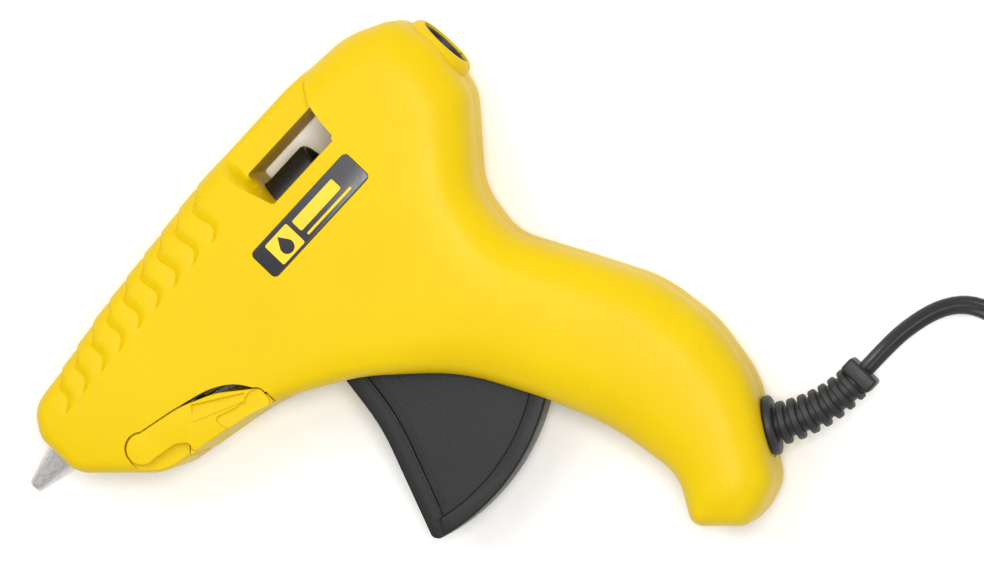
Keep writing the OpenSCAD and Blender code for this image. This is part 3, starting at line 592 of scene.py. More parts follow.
def drawn_down(place, faces, rim_of, inward):
    """A solid from the lifted sheet: a wall from its rim down to the parting plane, and a flat underside."""
    mesh = bmesh.new()
    made = [mesh.verts.new(at(*p)) for p in place]
    for f in faces:
        mesh.faces.new([made[i] for i in f])
    n = len(rim_of)
    top = [made[rim_of[k]] for k in range(n)]
    upper = top
    # each ring of the wall: its share of the rim's height, what is added to it, and how far it is pulled in
    for share, added, pull in ((0.66, 0, 0), (0.33, 0, 0), (0, 0.5, 0), (0, SEAM, 0.3)):
        lower = []
        for k in range(n):
            x, y, w = (c * 1000 - zero for c, zero in zip(top[k].co, NOSE))
            spot = at(x + inward[k][0] * pull, y + inward[k][1] * pull, w * share + added)
            lower.append(mesh.verts.new(spot))
        for k in range(n):
            mesh.faces.new([upper[k], upper[(k + 1) % n], lower[(k + 1) % n], lower[k]])
        upper = lower
    mesh.faces.new(upper)
    bmesh.ops.recalc_face_normals(mesh, faces=mesh.faces)
    data = bpy.data.meshes.new("housing_half")
    mesh.to_mesh(data)
    mesh.free()
    half = bpy.data.objects.new("housing_half", data)
    bpy.context.scene.collection.objects.link(half)
    return half


def sculpted_half():
    """The outside of the left half as one closed solid, with its rolled edges, strap and scallops.

    It is laid out as a triangulated sheet over the outline, because inset rings of one polygon cross
    themselves at the nose and the heel. The sheet's points are lifted, and its rim is drawn down."""
    outline = spaced(rounded(HOUSING_LINE, 8), 0.9)
    run = np.roll(outline, -1, axis=0) - np.roll(outline, 1, axis=0)
    inward = np.stack([run[:, 1], -run[:, 0]], 1) / np.linalg.norm(run, axis=1)[:, None]
    creases = scallops()
    flat, faces = sheet(outline, inward, creases)
    d, _, _ = nearest(flat, outline)
    share = strap_share(flat)
    height = body_height(d, roll_radius(flat), FLANK)
    # soften the creases that the outline's corners leave in the rolled edge
    height += smoothstep((d - 1.2) / 4) * (softened_height(outline, flat) - height)
    rolled = 1 - np.sqrt(np.clip(1 - (1 - np.clip(d / STRAP_ROLL, 0, 1)) ** 2, 0, 1))
    height = height * (1 - share) + (STRAP - STRAP_ROLL * rolled) * share
    # normals of the plain form, along which the scallops are pressed in
    place = np.column_stack([flat, height])
    normal = np.zeros_like(place)
    tri = np.array([f[:3] for f in faces])
    across = np.cross(place[tri[:, 1]] - place[tri[:, 0]], place[tri[:, 2]] - place[tri[:, 0]])
    across *= np.sign(across[:, 2:3] + 1e-12)
    for k in range(3):
        np.add.at(normal, tri[:, k], across)
    rim = d < 1e-3
    which = np.argmin(np.linalg.norm(flat[rim][:, None] - outline[None], axis=2), axis=1)
    normal[rim] = np.column_stack([-inward[which], np.full(rim.sum(), 0.15)])
    normal /= np.linalg.norm(normal, axis=1)[:, None]
    place -= normal * (press_depth(flat, creases) * (1 - share))[:, None]
    rim_of = {int(which[k]): int(i) for k, i in enumerate(np.where(rim)[0])}
    return drawn_down(place, faces, rim_of, inward)


def smooth_line(points, steps):
    """A smooth route through given points."""
    p = np.array(points, float)
    out = []
    for i in range(len(p) - 1):
        a, b, c, d = p[max(i - 1, 0)], p[i], p[i + 1], p[min(i + 2, len(p) - 1)]
        for k in range(steps):
            t = k / steps
            bend, twist = 2 * a - 5 * b + 4 * c - d, 3 * b - a - 3 * c + d
            out.append(0.5 * (2 * b + (c - a) * t + bend * t * t + twist * t**3))
    return np.array(out + [p[-1]])


# ---------------------------------------------------------------- finishes
def finish_housing(colour):
    """Injection-moulded ABS from a spark-eroded tool: satin yellow, its highlights softened by a pebble."""
    return grained(
        "moulded_abs_yellow", colour, "#d6b000", 0.55, 0.05, 0.44, IOR=1.53, Specular_IOR_Level=0.16,
    )


def finish_trigger():
    """Injection-moulded glass-filled nylon, lightly textured: charcoal with a dry sheen along its edges."""
    return grained(
        "moulded_nylon_charcoal", "#1a1a1b", "#131314", 0.4, 0.04, 0.42, patch_mm=12.0, IOR=1.53,
        Specular_IOR_Level=0.3,
    )


def finish_carriage():
    """Moulded acetal, polished by the sticks that slide through it: near black with a long soft highlight."""
    return grained("moulded_acetal_black", "#1c1f21", "#121415", 0.8, 0.01, 0.36, patch_mm=9.0, IOR=1.48)


def finish_sleeve():
    """Moulded nylon liner, slightly violet black, dull inside."""
    return grained("moulded_nylon_liner", "#26252c", "#1a191f", 0.5, 0.02, 0.5, patch_mm=9.0, IOR=1.53)


def finish_rubber(name, colour, rough=0.55):
    """Moulded or extruded flexible PVC: dark grey, dry, with faint bloom in patches."""
    return grained(name, colour, "#232324", 0.7, 0.05, rough, patch_mm=7.0, IOR=1.52, Specular_IOR_Level=0.4)


def finish_metal(name, colour, rough, groove_mm, height, axis=0, patch_mm=6.0, fade=0.35, shade="#8d8a86"):
    """Turned or drawn metal: fine rings across one axis, cloudy oxide, full metallic shine."""
    material, tree, shader = fresh(name, Metallic=1.0)
    place = node(tree, "ShaderNodeTexCoord").outputs["Object"]
    rings = node(
        tree, "ShaderNodeTexWave",
        {"Vector": place, "Scale": 314 / groove_mm, "Distortion": 1.2, "Detail": 2.0, "Detail Scale": 3.0},
        bands_direction="XYZ"[axis],
    )
    cloud = node(tree, "ShaderNodeTexNoise", {"Vector": place, "Scale": 1000 / patch_mm, "Detail": 4.0})
    shaded = node(tree, "ShaderNodeMath", {0: cloud.outputs["Fac"], 1: fade}, operation="MULTIPLY")
    tint = node(tree, "ShaderNodeMix", {"Factor": shaded.outputs[0]}, data_type="RGBA")
    tint.inputs[6].default_value, tint.inputs[7].default_value = linear(colour), linear(shade)
    gloss = node(tree, "ShaderNodeMapRange", {
        "Value": cloud.outputs["Fac"], "From Min": 0.3, "From Max": 0.7, "To Min": rough - 0.06,
        "To Max": rough + 0.08,
    })
    bump = node(tree, "ShaderNodeBump", {"Distance": height / 1000, "Height": rings.outputs["Fac"]})
    plug_in(tree, shader, tint.outputs[2], gloss.outputs[0], bump.outputs[0])
    return material


def finish_nozzle():
    """Tumbled aluminium, wiped along its length: grey with fine pale streaks and a soft broad highlight."""
    material, tree, shader = fresh("tumbled_aluminium", Metallic=1.0)
    place = node(tree, "ShaderNodeTexCoord").outputs["Object"]
    drawn = node(tree, "ShaderNodeMapping", {"Vector": place, "Scale": (0.22, 1.0, 1.0)})
    streak = node(tree, "ShaderNodeTexNoise", {
        "Vector": drawn.outputs[0], "Scale": 1000 / 0.55, "Detail": 4.0, "Roughness": 0.7,
    })
    share = node(
        tree, "ShaderNodeMapRange", {"Value": streak.outputs["Fac"], "From Min": 0.3, "From Max": 0.7},
    )
    tint = node(tree, "ShaderNodeMix", {"Factor": share.outputs[0]}, data_type="RGBA")
    tint.inputs[6].default_value, tint.inputs[7].default_value = linear("#bab7b5"), linear("#e6e2df")
    gloss = node(tree, "ShaderNodeMapRange", {"Value": streak.outputs["Fac"], "To Min": 0.38, "To Max": 0.58})
    bump = node(tree, "ShaderNodeBump", {"Distance": 0.00002, "Height": streak.outputs["Fac"]})
    plug_in(tree, shader, tint.outputs[2], gloss.outputs[0], bump.outputs[0])
    return material


def finish_braid():
    """Braided and varnished glass fibre: cream threads that cross about every millimetre."""
    material, tree, shader = fresh("braided_glass_fibre", IOR=1.5)
    place = node(tree, "ShaderNodeTexCoord").outputs["Object"]
    weave = node(
        tree, "ShaderNodeTexChecker",
        {"Vector": place, "Scale": 1400.0, "Color1": linear("#e6dfca"), "Color2": linear("#c9bfa2")},
    )
    bump = node(tree, "ShaderNodeBump", {"Strength": 0.8, "Distance": 0.0001, "Height": weave.outputs["Fac"]})
    tree.links.new(weave.outputs["Color"], shader.inputs["Base Color"])
    tree.links.new(bump.outputs[0], shader.inputs["Normal"])
    shader.inputs["Roughness"].default_value = 0.6
    return material


# ---------------------------------------------------------------- settings
class GunSettings(bpy.types.PropertyGroup):
    housing_colour: bpy.props.StringProperty(
        name="Housing colour", description="Colour of the moulded housing, as an sRGB hex value",
        default="#dcbc02",
    )
    cord_length: bpy.props.FloatProperty(
        name="Cord length", description="Length of the mains cord from its strain relief to its plug",
        default=1.4, unit="LENGTH",
    )
    key_power: bpy.props.FloatProperty(
        name="Key light", description="Power of the large soft light off the gun's top edge", default=7.5,
        unit="POWER",
    )
    top_power: bpy.props.FloatProperty(
        name="Top light", description="Power of the soft light straight over the gun", default=9.0,
        unit="POWER",
    )
    room_light: bpy.props.FloatProperty(
        name="Room light", description="Strength of the even white room round the stage", default=0.58,
        min=0.0,
    )


def settings():
    return bpy.context.scene.glue_gun


# ---------------------------------------------------------------- stage
# The camera looks at AIM from the gun's left, a little behind and below it. FIELD is the width it sees there,
# in metres, as DISTANCE is, and UP turns the barrel so that it rises to the right.
AIM = (126.1, -52.9, 6)
BEHIND = math.radians(9)
BELOW = math.radians(5)
UP = Matrix.Rotation(-0.005, 3, "Z") @ Vector((0.7278, 0.6858, 0))
DISTANCE = 2.4
FIELD = 0.2595
SENSOR = 36


class GLUEGUN_OT_stage(bpy.types.Operator):
    """Lay the pale floor, the soft lights and the camera over the gun's left flank"""

    bl_idname = "gluegun.stage"
    bl_label = "Stage"

    def execute(self, context):
        scene = context.scene
        floor = bare("floor", [(-3, -3, 0), (3, -3, 0), (3, 3, 0), (-3, 3, 0)], faces=[(0, 1, 2, 3)])
        floor.data.materials.append(
            grained("painted_board_white", "#ffffff", "#f8f8f8", 4.0, 0.002, 0.7, patch_mm=400.0)
        )
        world = bpy.data.worlds.new("white_room")
        scene.world = world
        world.use_nodes = True
        world.node_tree.nodes["Background"].inputs[0].default_value = (1, 1, 1, 1)
        world.node_tree.nodes["Background"].inputs[1].default_value = settings().room_light
        middle = at(*AIM)
        for name, offset, size, power in (
            ("key", (0.15, 0.75, 1.15), 1.1, settings().key_power),
            ("top", (0.24, -0.12, 1.25), 0.4, settings().top_power),
        ):
            lamp = bpy.data.lights.new(name, "AREA")
            lamp.shape, lamp.size, lamp.energy = "DISK", size, power
            holder = bpy.data.objects.new(name, lamp)
            scene.collection.objects.link(holder)
            holder.location = middle + Vector(offset)
            holder.rotation_euler = Vector(offset).to_track_quat("Z", "Y").to_euler()
        back = Vector((math.tan(BEHIND), -math.tan(BELOW), 1)).normalized()
        up = (UP - back * UP.dot(back)).normalized()
        lens = bpy.data.cameras.new("camera")
        lens.sensor_width = SENSOR
        lens.lens = SENSOR * DISTANCE / FIELD
        holder = bpy.data.objects.new("camera", lens)
        scene.collection.objects.link(holder)
        turn = Matrix((up.cross(back), up, back)).transposed().to_4x4()
        holder.matrix_world = Matrix.Translation(middle + back * DISTANCE) @ turn
        scene.camera = holder
        scene.view_settings.view_transform = "Standard"
        return {"FINISHED"}


# ---------------------------------------------------------------- cord
RELIEF_START = RELIEF_BASE + Vector((math.cos(RELIEF_TURN), -math.sin(RELIEF_TURN))) * 2.2
RELIEF_END = RELIEF_START + RELIEF_ARC * Vector((math.sin(RELIEF_TURN), math.cos(RELIEF_TURN) - 1))
CORD_EXIT = (RELIEF_END.x + 3.8, RELIEF_END.y, 0.0)
TABLE = -HALF + 1.45
COIL = (238.0, -181.4)
PLUG = (266.0, -156.4, 6.6 - HALF)
TURNS = 7.5
CORD_THICK = 2.82
# Where the coil winds: after so many turns the cord is at this radius and on this layer
WINDING = [
    (0, 30.2, 0), (0.08, 30.9, 0), (0.42, 30.9, 0), (0.6, 25.3, 0), (1.45, 25.3, 0), (1.6, 25.3, 1),
    (2.45, 25.3, 1), (2.6, 25.3, 2), (3.45, 25.3, 2), (3.6, 25.3, 3), (4.45, 25.3, 3), (4.65, 30.9, 3),
    (5.45, 30.9, 3), (5.6, 30.9, 2), (6.45, 30.9, 2), (6.6, 30.9, 1), (7.35, 30.9, 1), (7.5, 29.4, 0.7),
]


def cord_line():
    """The cord's centreline: out of the relief, down to the table, round the coil and out to the plug."""
    x, y, _ = CORD_EXIT
    run = smooth_line([
        CORD_EXIT, (x + 3, y, 0), (x + 9, y, -1.4), (192, -140.5, -6), (200, -142.5, -12),
        (206, -147, TABLE + 1.4), (209, -154, TABLE + 0.1), (210, -162, TABLE), (209.2, -172, TABLE),
        (208, -180.0, TABLE),
    ], 4)
    turn = np.linspace(0, TURNS, int(TURNS * 30) + 1)[1:]
    turns, radii, layers = zip(*WINDING)
    r, lift = np.interp(turn, turns, radii), TABLE + CORD_THICK * np.interp(turn, turns, layers)
    angle = math.pi + turn * 2 * math.pi
    coil = np.column_stack([COIL[0] + r * np.cos(angle), COIL[1] + r * np.sin(angle), lift])
    tail = smooth_line([
        coil[-1], (266.8, -176, TABLE + 0.6), (266.3, -169, TABLE + 0.9), (266, -162.5, TABLE + 3.6),
        (266, -158.4, PLUG[2]), (266, -153.5, PLUG[2]),
    ], 4)[1:]
    line = np.concatenate([run, coil, tail])
    for _ in range(3):
        line[1:-1] = 0.25 * line[:-2] + 0.5 * line[1:-1] + 0.25 * line[2:]
    return line


def twin_section():
    """Outline of a flat twin cord, 5.4 by 2.8 mm, with a groove down each flat side."""
    right = [(1.3 + 1.4 * math.cos(a), 1.4 * math.sin(a)) for a in np.radians(np.linspace(-140, 140, 11))]
    return right + [(-x, -y) for x, y in right]


def swept(name, line, section, spins):
    """A section swept along a line with closed ends, turned at each point by its spin in degrees."""
    section, n = np.array(section), len(section)
    rings = []
    for k, p in enumerate(line):
        t = line[min(k + 1, len(line) - 1)] - line[max(k - 1, 0)]
        t = t / np.linalg.norm(t)
        side = np.cross([0, 0, 1], t)
        side /= np.linalg.norm(side)
        up, a = np.cross(t, side), math.radians(spins[k])
        x = section[:, 0] * math.cos(a) - section[:, 1] * math.sin(a)
        y = section[:, 0] * math.sin(a) + section[:, 1] * math.cos(a)
        rings += [p + side * u + up * v for u, v in zip(x, y)]
    faces = [
        (k * n + j, k * n + (j + 1) % n, (k + 1) * n + (j + 1) % n, (k + 1) * n + j)
        for k in range(len(line) - 1) for j in range(n)
    ]
    last = (len(line) - 1) * n
    faces += [tuple(range(n))[::-1], tuple(range(last, last + n))]
    return bare(name, [at(*p) for p in rings], faces=faces)


def squared(t):
    """A sine or cosine pressed out towards the corners of its square."""
    return math.copysign(abs(t) ** 0.45, t)


class GLUEGUN_OT_cord(bpy.types.Operator):
    """Lay the flat twin cord, its tie and its plug"""

    bl_idname = "gluegun.cord"
    bl_label = "Cord and plug"

    def execute(self, context):
        pvc = finish_rubber("extruded_pvc_grey", "#2d2d2e", 0.38)
        line = cord_line()
        walked = np.concatenate([[0], np.cumsum(np.linalg.norm(np.diff(line, axis=0), axis=1))])
        spins = np.interp(walked, [0, 8, 30, 52], [52, 50, 40, 0])
        cord = settle(swept("cord_run", line, twin_section(), spins), "mains_cord", pvc, angle=50)
        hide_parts("cord", "cord_coil", "cord_tail")
        # plug: a ribbed neck, a moulded body with three finger grooves a side, and two blades
        x, y, w = PLUG
        neck = lathe("neck", [
            (-0.6, 0), (-0.6, 2.9), (0, 3.3), (1.6, 3.4), (1.9, 3.0), (3.1, 3.0), (3.4, 3.7), (5, 3.8),
            (5.3, 3.3), (6.6, 3.3), (6.9, 4.1), (10.4, 4.4), (10.4, 0),
        ], 32)
        neck.data.transform(placed(x, y, 90, w))
        right = [(x + 10, y + 34, 2.5), (x + 10, y + 16, 4), (x + 5, y + 9.6, 3)]
        left = [(2 * x - a, b, r) for a, b, r in reversed(right)]
        body = prism("body", rounded(left + right, 5), w - 6.4, w + 6.4, 2.0, 4)
        for side in (-1, 1):
            for k in range(3):
                edge, low = x + side * 10.9, y + 19 + 4 * k
                boolean(body, block("groove", (edge - 1.3, low, w - 8), (edge + 1.3, low + 1.6, w + 8), 0.5))
        finish = finish_rubber("moulded_pvc_plug", "#343435", 0.5)
        plug = settle(join([neck, body]), "plug_body_moulded", finish, angle=40)
        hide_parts("plug_body")
        blades = []
        for side in (-1, 1):
            middle = x + side * 6.35
            blade = block(
                "blade", (middle - 0.75, y + 33.5, w - 3.17), (middle + 0.75, y + 51.5, w + 3.17), 0.45,
            )
            hole = rod("hole", 0, 0, 1.7, -4, 4, 24)
            hole.data.transform(
                moved(at(0, 0), Matrix.Rotation(math.radians(90), 4, "Y"), at(middle, y + 47, w))
            )
            blades.append(boolean(blade, hole))
        finish = finish_metal("nickel_plated_brass", "#d3cfc4", 0.28, 0.5, 0.002, 1)
        blades = settle(join(blades), "plug_blades_pressed", finish)
        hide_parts("plug_blades")
        # the tie: a rubber band round the coil's turns, close to a square in section
        band = [
            (28 + 6.6 * squared(math.cos(t)), -HALF + 5.75 + 5.7 * squared(math.sin(t)))
            for t in np.linspace(0, 2 * math.pi, 37)[:-1]
        ]
        tie = drawn_out("tie", [at(COIL[0] - 2.2, COIL[1] - r, lift) for r, lift in band], (0.0044, 0, 0))
        round_edges(tie, 0.4, 2, 60)
        tie = settle(tie, "cord_tie", finish_rubber("rubber_band_black", "#232323", 0.5))
        return {"FINISHED"}


# ---------------------------------------------------------------- housing
# A half with fewer faces than this has lost its outside in a failed cut
FEWEST_FACES = 5000
SCREWS = [(68, 13.2), (69.6, -28.4), (136, 14), (143.8, -16), (146.4, -76.5), (127.6, -137.4)]
# Pan head of a housing screw: (w, radius) from its seat to its crown
SCREW_HEAD = [(-10, 2.3), (-10.35, 2.6), (-11, 2.45), (-11.6, 1.8), (-11.95, 0.9), (-12.0, 0)]


def bore(name, x0, x1, r, steps=64):
    """A round tool along the barrel's axis."""
    return lathe(name, [(x0, 0), (x0, r), (x1, r), (x1, 0)], steps)


def hollow_tool():
    """The room inside one half, left solid round the carriage's guide and behind the stand's recess."""
    tool = prism("hollow", rounded(inset(HOUSING_LINE, 3.4), 4), -1, 8.6)
    boolean(tool, prism("deep", rounded(inset(HOUSING_LINE, 7.5), 4), 2, 13.2), "UNION")
    boolean(tool, block("guide_block", (100.1, -11.6, -3), (129.4, 30, 20)))
    boolean(tool, block("collar_block", (149, -12.4, -3), (170, 12.4, 20)))
    boolean(tool, prism("slot_block", [(40, -12), (68, -14), (68, -41), (40, -41)], 8.4, 20))
    return boolean(
        tool, prism("recess_block", [(39, -20), (52, -22.5), (68, -27.5), (68, -40), (39, -40)], -3, 20),
    )


def opening_tools():
    """Tools for the openings of one half, each clear of the others' faces."""
    window = [(102.6, 3.1, 0.6), (102.6, 13.5, 0.8), (128.3, 13.5, 0.8), (127.4, 8, 20), (127, 3.1, 0.6)]
    slot = arc(PIVOT, 58.2, -134, -24, 80) + arc(PIVOT, 6.5, -24, -134, 24)
    plate = [(41.2, -22.9), (52, -25.9), (65.3, -29.7), (64.8, -33.5), (64.8, -40), (41.2, -40)]
    swing = arc(STAND_PIVOT, 12.5, -34, -80, 20) + [(33.2, -46), (55, -46)]
    recess = prism("recess", rounded(inset(STAND_LINE, -0.35), 5), 16.1, 25)
    boolean(recess, rod("eye_room", STAND_PIVOT.x, STAND_PIVOT.y, 4.7, 16.1, 25, 64), "UNION")
    boolean(recess, prism("below", [(26.1, -16), (43, -17), (43, -30), (26.1, -30)], 16.1, 25), "UNION")
    upper = smooth_line([(42.0, -14.5), (49.2, -16.3), (55.5, -18.5), (60.8, -22.2), (64.4, -27.8)], 6)
    lower = smooth_line([(63.9, -27.8), (57.0, -21.6), (51.3, -18.2), (42.5, -14.9)], 6)
    crescent = [tuple(p) for p in np.concatenate([upper, lower])]
    boolean(recess, prism("crescent", crescent, 3, 25), "UNION")
    turn = placed(RELIEF_BASE.x, RELIEF_BASE.y, -RELIEF_DEGREES)
    return [
        prism("window", rounded(window, 4), -1, 25),
        bore("carriage_room", 99, 127, 9.95, 96),
        bore("guide_room", 125, 175, 7.5, 96),
        bore("nozzle_room", 10, 20, 5.75),
        prism("slot", slot, -1, 9.4),
        prism("plate_room", plate, -1, 25),
        prism("swing_room", swing, -1, 25),
        recess,
        prism("label_room", panel(88.9, -11.5, 126.3, -2.1, 1.5, 8), 18.3, 25),
        lathe("relief_room", [(-0.4, 0), (-0.4, 8.5), (9, 8.5), (9, 0)], 64, turn),
        lathe("relief_plug_room", [(-12, 0), (-12, 5.2), (1, 5.2), (1, 0)], 48, turn),
    ]


class GLUEGUN_OT_housing(bpy.types.Operator):
    """Mould the two housing halves: rolled edges, strap, scallops, collar, window and openings"""

    bl_idname = "gluegun.housing"
    bl_label = "Housing halves"

    def execute(self, context):
        half = sculpted_half()
        collar = lathe("collar", [
            (150, 7.2), (162.7, 7.2), (163.1, 7.4), (163.3, 7.8), (163.2, 8.4), (162.8, 9.0), (162.1, 9.5),
            (161.2, 9.8), (150, 10.0), (150, 7.2),
        ], 96)
        boolean(collar, block("below", (140, -30, -30), (180, 30, 0.08)))
        boolean(half, collar, "UNION")
        boolean(half, hollow_tool())
        for tool in opening_tools():
            boolean(half, tool)
        other = mirrored(half, "right")
        for x, y in SCREWS:
            boolean(other, rod("screw_room", x, y, 2.9, -25, -10, 40))
        abs_ = finish_housing(settings().housing_colour)
        for piece, side in ((half, "left"), (other, "right")):
            if len(piece.data.polygons) < FEWEST_FACES:
                raise RuntimeError(f"the {side} half lost its outside")
            settle(piece, f"housing_{side}_shell", abs_, angle=32)
            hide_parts(f"housing_{side}")
        return {"FINISHED"}


class GLUEGUN_OT_screws(bpy.types.Operator):
    """Turn the six housing screws, pan heads with a cross recess, in the right half"""

    bl_idname = "gluegun.screws"
    bl_label = "Housing screws"

    def execute(self, context):
        steel = finish_metal("zinc_plated_steel", "#b9b6ae", 0.3, 0.3, 0.002)
        thread = [(7.8 - 1.2 * k - low, r) for k in range(14) for low, r in ((0, 1.2), (0.6, 0.92))]
        shank = [(9.4, 0), (8.2, 0.9)] + thread + [(-9.7, 1.2), (-10, 1.4)] + SCREW_HEAD
        made = []
        for x, y in SCREWS:
            screw = lathe(
                "screw", shank, 28, moved(at(0, 0), Matrix.Rotation(math.radians(-90), 4, "Y"), at(x, y)),
            )
            for turn in (20, 110):
                cut = block("recess", (-1.5, -0.3, -12.5), (1.5, 0.3, -11.0))
                cut.data.transform(placed(x, y, turn + 13 * x))
                boolean(screw, cut)
            made.append(screw)
        screws = settle(join(made), "housing_screws_turned", steel)
        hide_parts("housing_screws")
        return {"FINISHED"}


# ---------------------------------------------------------------- barrel
class GLUEGUN_OT_nozzle(bpy.types.Operator):
    """Turn the aluminium nozzle with its bore"""

    bl_idname = "gluegun.nozzle"
    bl_label = "Nozzle"

    def execute(self, context):
        profile = [
            (12, 0.85), (0.9, 0.85), (0.2, 1.15), (0, 1.45), (0.08, 1.72), (0.35, 1.95), (1.2, 2.2), (6, 3.5),
            (12.4, 5.2), (13.2, 5.38), (15.4, 5.4), (15.7, 5.2), (15.8, 4.4), (23.8, 4.4), (23.8, 2.3),
            (13, 2.2), (12, 0.85),
        ]
        nozzle = settle(lathe("nozzle", profile, 72), "nozzle_turned", finish_nozzle(), angle=30)
        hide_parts("nozzle")
        return {"FINISHED"}


class GLUEGUN_OT_carriage(bpy.types.Operator):
    """Mould the stick carriage with its funnel, key ribs and lug, and the guide sleeve behind it"""

    bl_idname = "gluegun.carriage"
    bl_label = "Carriage and guide"

    def execute(self, context):
        tube = lathe("tube", [
            (80.5, 7.0), (80.5, 9.2), (80.8, 9.5), (115.9, 9.5), (116.6, 9.25), (116.95, 8.8), (117, 8.4),
            (116.8, 8.1), (116.2, 7.9), (114.6, 7.0), (80.5, 7.0),
        ], 128)
        ribs = block("ribs", (82, -1.6, -12.5), (98, 1.6, 12.5), 0.3)
        lug = block("lug", (84.24, -16.4, -3.4), (97.64, -6, 3.4), 0.5)
        boolean(lug, block("jaw_slot", (80, -20, -1.9), (100, -4, 1.9)))
        for piece in (ribs, lug):
            boolean(tube, piece, "UNION")
        boolean(tube, bore("bore", 70, 114.7, 7.0, 128))
        boolean(tube, rod("pin_room", 90.2354, -12.5, 1.56, -10, 10, 40))
        tube = settle(tube, "feed_carriage_moulded", finish_carriage(), "carriage")
        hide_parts("feed_carriage")
        sleeve = lathe("sleeve", [
            (127.6, 6.7), (127.9, 7.3), (128.3, 7.4), (135.4, 7.4), (135.4, 8.9), (136.9, 8.9), (136.9, 7.4),
            (162.2, 7.4), (162.6, 7.25), (162.7, 6.9), (162.5, 6.6), (161.8, 6.4), (127.9, 6.4), (127.6, 6.7),
        ], 96)
        sleeve = settle(sleeve, "guide_sleeve_moulded", finish_sleeve())
        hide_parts("guide_sleeve")
        return {"FINISHED"}


# (inner, outer) face of the label plates and of the printed marks, as heights over the parting plane
LABEL = (18.4, 18.9)
MARKS = (18.85, 18.94)


class GLUEGUN_OT_labels(bpy.types.Operator):
    """Set the two label plates, dark with plain generic marks on the left and brushed on the right"""

    bl_idname = "gluegun.labels"
    bl_label = "Label plates"

    def execute(self, context):
        outline = panel(89, -11.4, 126.2, -2.2, 1.4, 8)
        finish = grained(
            "anodised_sheet_dark", "#2b2930", "#1d1c20", 0.5, 0.006, 0.34, patch_mm=14.0, IOR=1.5,
        )
        plate = settle(prism("plate", outline, *LABEL, 0.12, 2), "label_left_plate", finish)
        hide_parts("label_left")
        badge = prism("badge", panel(93.2, -10.6, 101.6, -3.5, 0.5, 4), *MARKS)
        drop = [(97.4, -4.3)] + arc((97.4, -7.9), 2.0, 28, -208, 28)
        boolean(badge, prism("drop", drop, 18, 20))
        bar = prism("bar", panel(103, -7.9, 118.6, -4.3, 0.5, 4), *MARKS)
        thin = prism("thin", panel(103.6, -10.0, 120.6, -9.3, 0.3, 3), *MARKS)
        ink = grained("screen_ink_yellow", "#f4cb1c", "#e0b40f", 0.4, 0.004, 0.4, patch_mm=5.0, IOR=1.5)
        marks = settle(join([badge, bar, thin]), "label_left_marks", ink)
        twin = prism("plate", outline, *LABEL, 0.12, 2)
        other = mirrored(twin, "other")
        bpy.data.objects.remove(twin)
        finish = finish_metal("brushed_aluminium_label", "#cfcfcc", 0.36, 0.25, 0.002, 1)
        other = settle(other, "label_right_plate", finish)
        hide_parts("label_right")
        return {"FINISHED"}


# ---------------------------------------------------------------- trigger, stand, relief
FRONT_EDGE = [(65.3, -87.3, 2), (77.4, -57.3, 60), (79.9, -41.3, 3)]
RIM_R = 57.6


def rim_arc(start, steps):
    """Corners along the trigger's rim, from a start angle to the front edge."""
    return [(x, y, 0) for x, y in arc(PIVOT, RIM_R, start, -108.5, steps)]


def front_strip(near, far, trim, low, high, bevel=0.0):
    """A band along the trigger's front edge, between two distances from it, its lowest points trimmed off."""
    tip, bend, top = FRONT_EDGE
    edge = spaced(rounded([(*tip[:2], 0), bend, top, (80.4, -36, 0)], 8), 1.0, False)
    near_side, far_side = (list(map(tuple, offset_line(edge, -d)))[trim:] for d in (near, far))
    return prism("strip", near_side + far_side[::-1], low, high, bevel)


class GLUEGUN_OT_trigger(bpy.types.Operator):
    """Mould the trigger: web, ridged front flange, curved rim, hub and fork arm"""

    bl_idname = "gluegun.trigger"
    bl_label = "Trigger"

    def execute(self, context):
        side = FRONT_EDGE + [(81.6, -34.3, 1), (89.4, -34.3, 1), (93.2, -39.3, 3)] + rim_arc(-57, 40)
        flange = FRONT_EDGE + [(83, -42.7, 1), (81, -58.1, 60), (69.6, -86.3, 3)] + rim_arc(-103, 6)
        rim = arc(PIVOT, RIM_R, -57, -107.5, 40) + arc(PIVOT, 52.8, -105.5, -57, 40)
        trigger = prism("trigger", rounded(side, 5), -4.5, 4.5, 0.5)
        front = prism("front", rounded(flange, 5), -9, 9, 1.1, 4)
        boolean(trigger, front_strip(2.6, 5.1, 4, -5.4, 5.4), "UNION")
        boolean(trigger, front_strip(4.9, 5.4, 5, -6.0, 6.0, 0.15), "UNION")
        for face in (1, -1):
            boolean(trigger, front_strip(5.4, 7.6, 7, *sorted((3.5 * face, 12 * face))))
            boolean(front, front_strip(2.75, 6.0, 0, *sorted((7.4 * face, 12 * face))))
        boolean(trigger, front, "UNION")
        boolean(trigger, prism("rim", rim, -5.9, 5.9, 0.7), "UNION")
        boolean(trigger, rod("hub", PIVOT.x, PIVOT.y, 5.5, -8, 8, 64, 0.4), "UNION")
        fork = block("fork", (0, -4, -6.3), (24.07, 4, 6.3), 0.4)
        boolean(fork, block("gap", (15.6, -6, -3.8), (30, 6, 3.8)))
        boolean(fork, block("slot", (19.8, -1.85, -10), (30, 1.85, 10)))
        fork.data.transform(placed(PIVOT.x, PIVOT.y, 76))
        boolean(trigger, fork, "UNION")
        boolean(trigger, rod("pin_room", PIVOT.x, PIVOT.y, 2.05, -20, 20, 40))
        slit = [(89.7, -53.3), (90.0, -53.3), (90.7, -50.3), (90.4, -50.3)]
        boolean(trigger, prism("slit", slit, 4.2, 5))
        trigger = settle(trigger, "trigger_moulded", finish_trigger(), "trigger", 32)
        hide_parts("trigger")
        return {"FINISHED"}


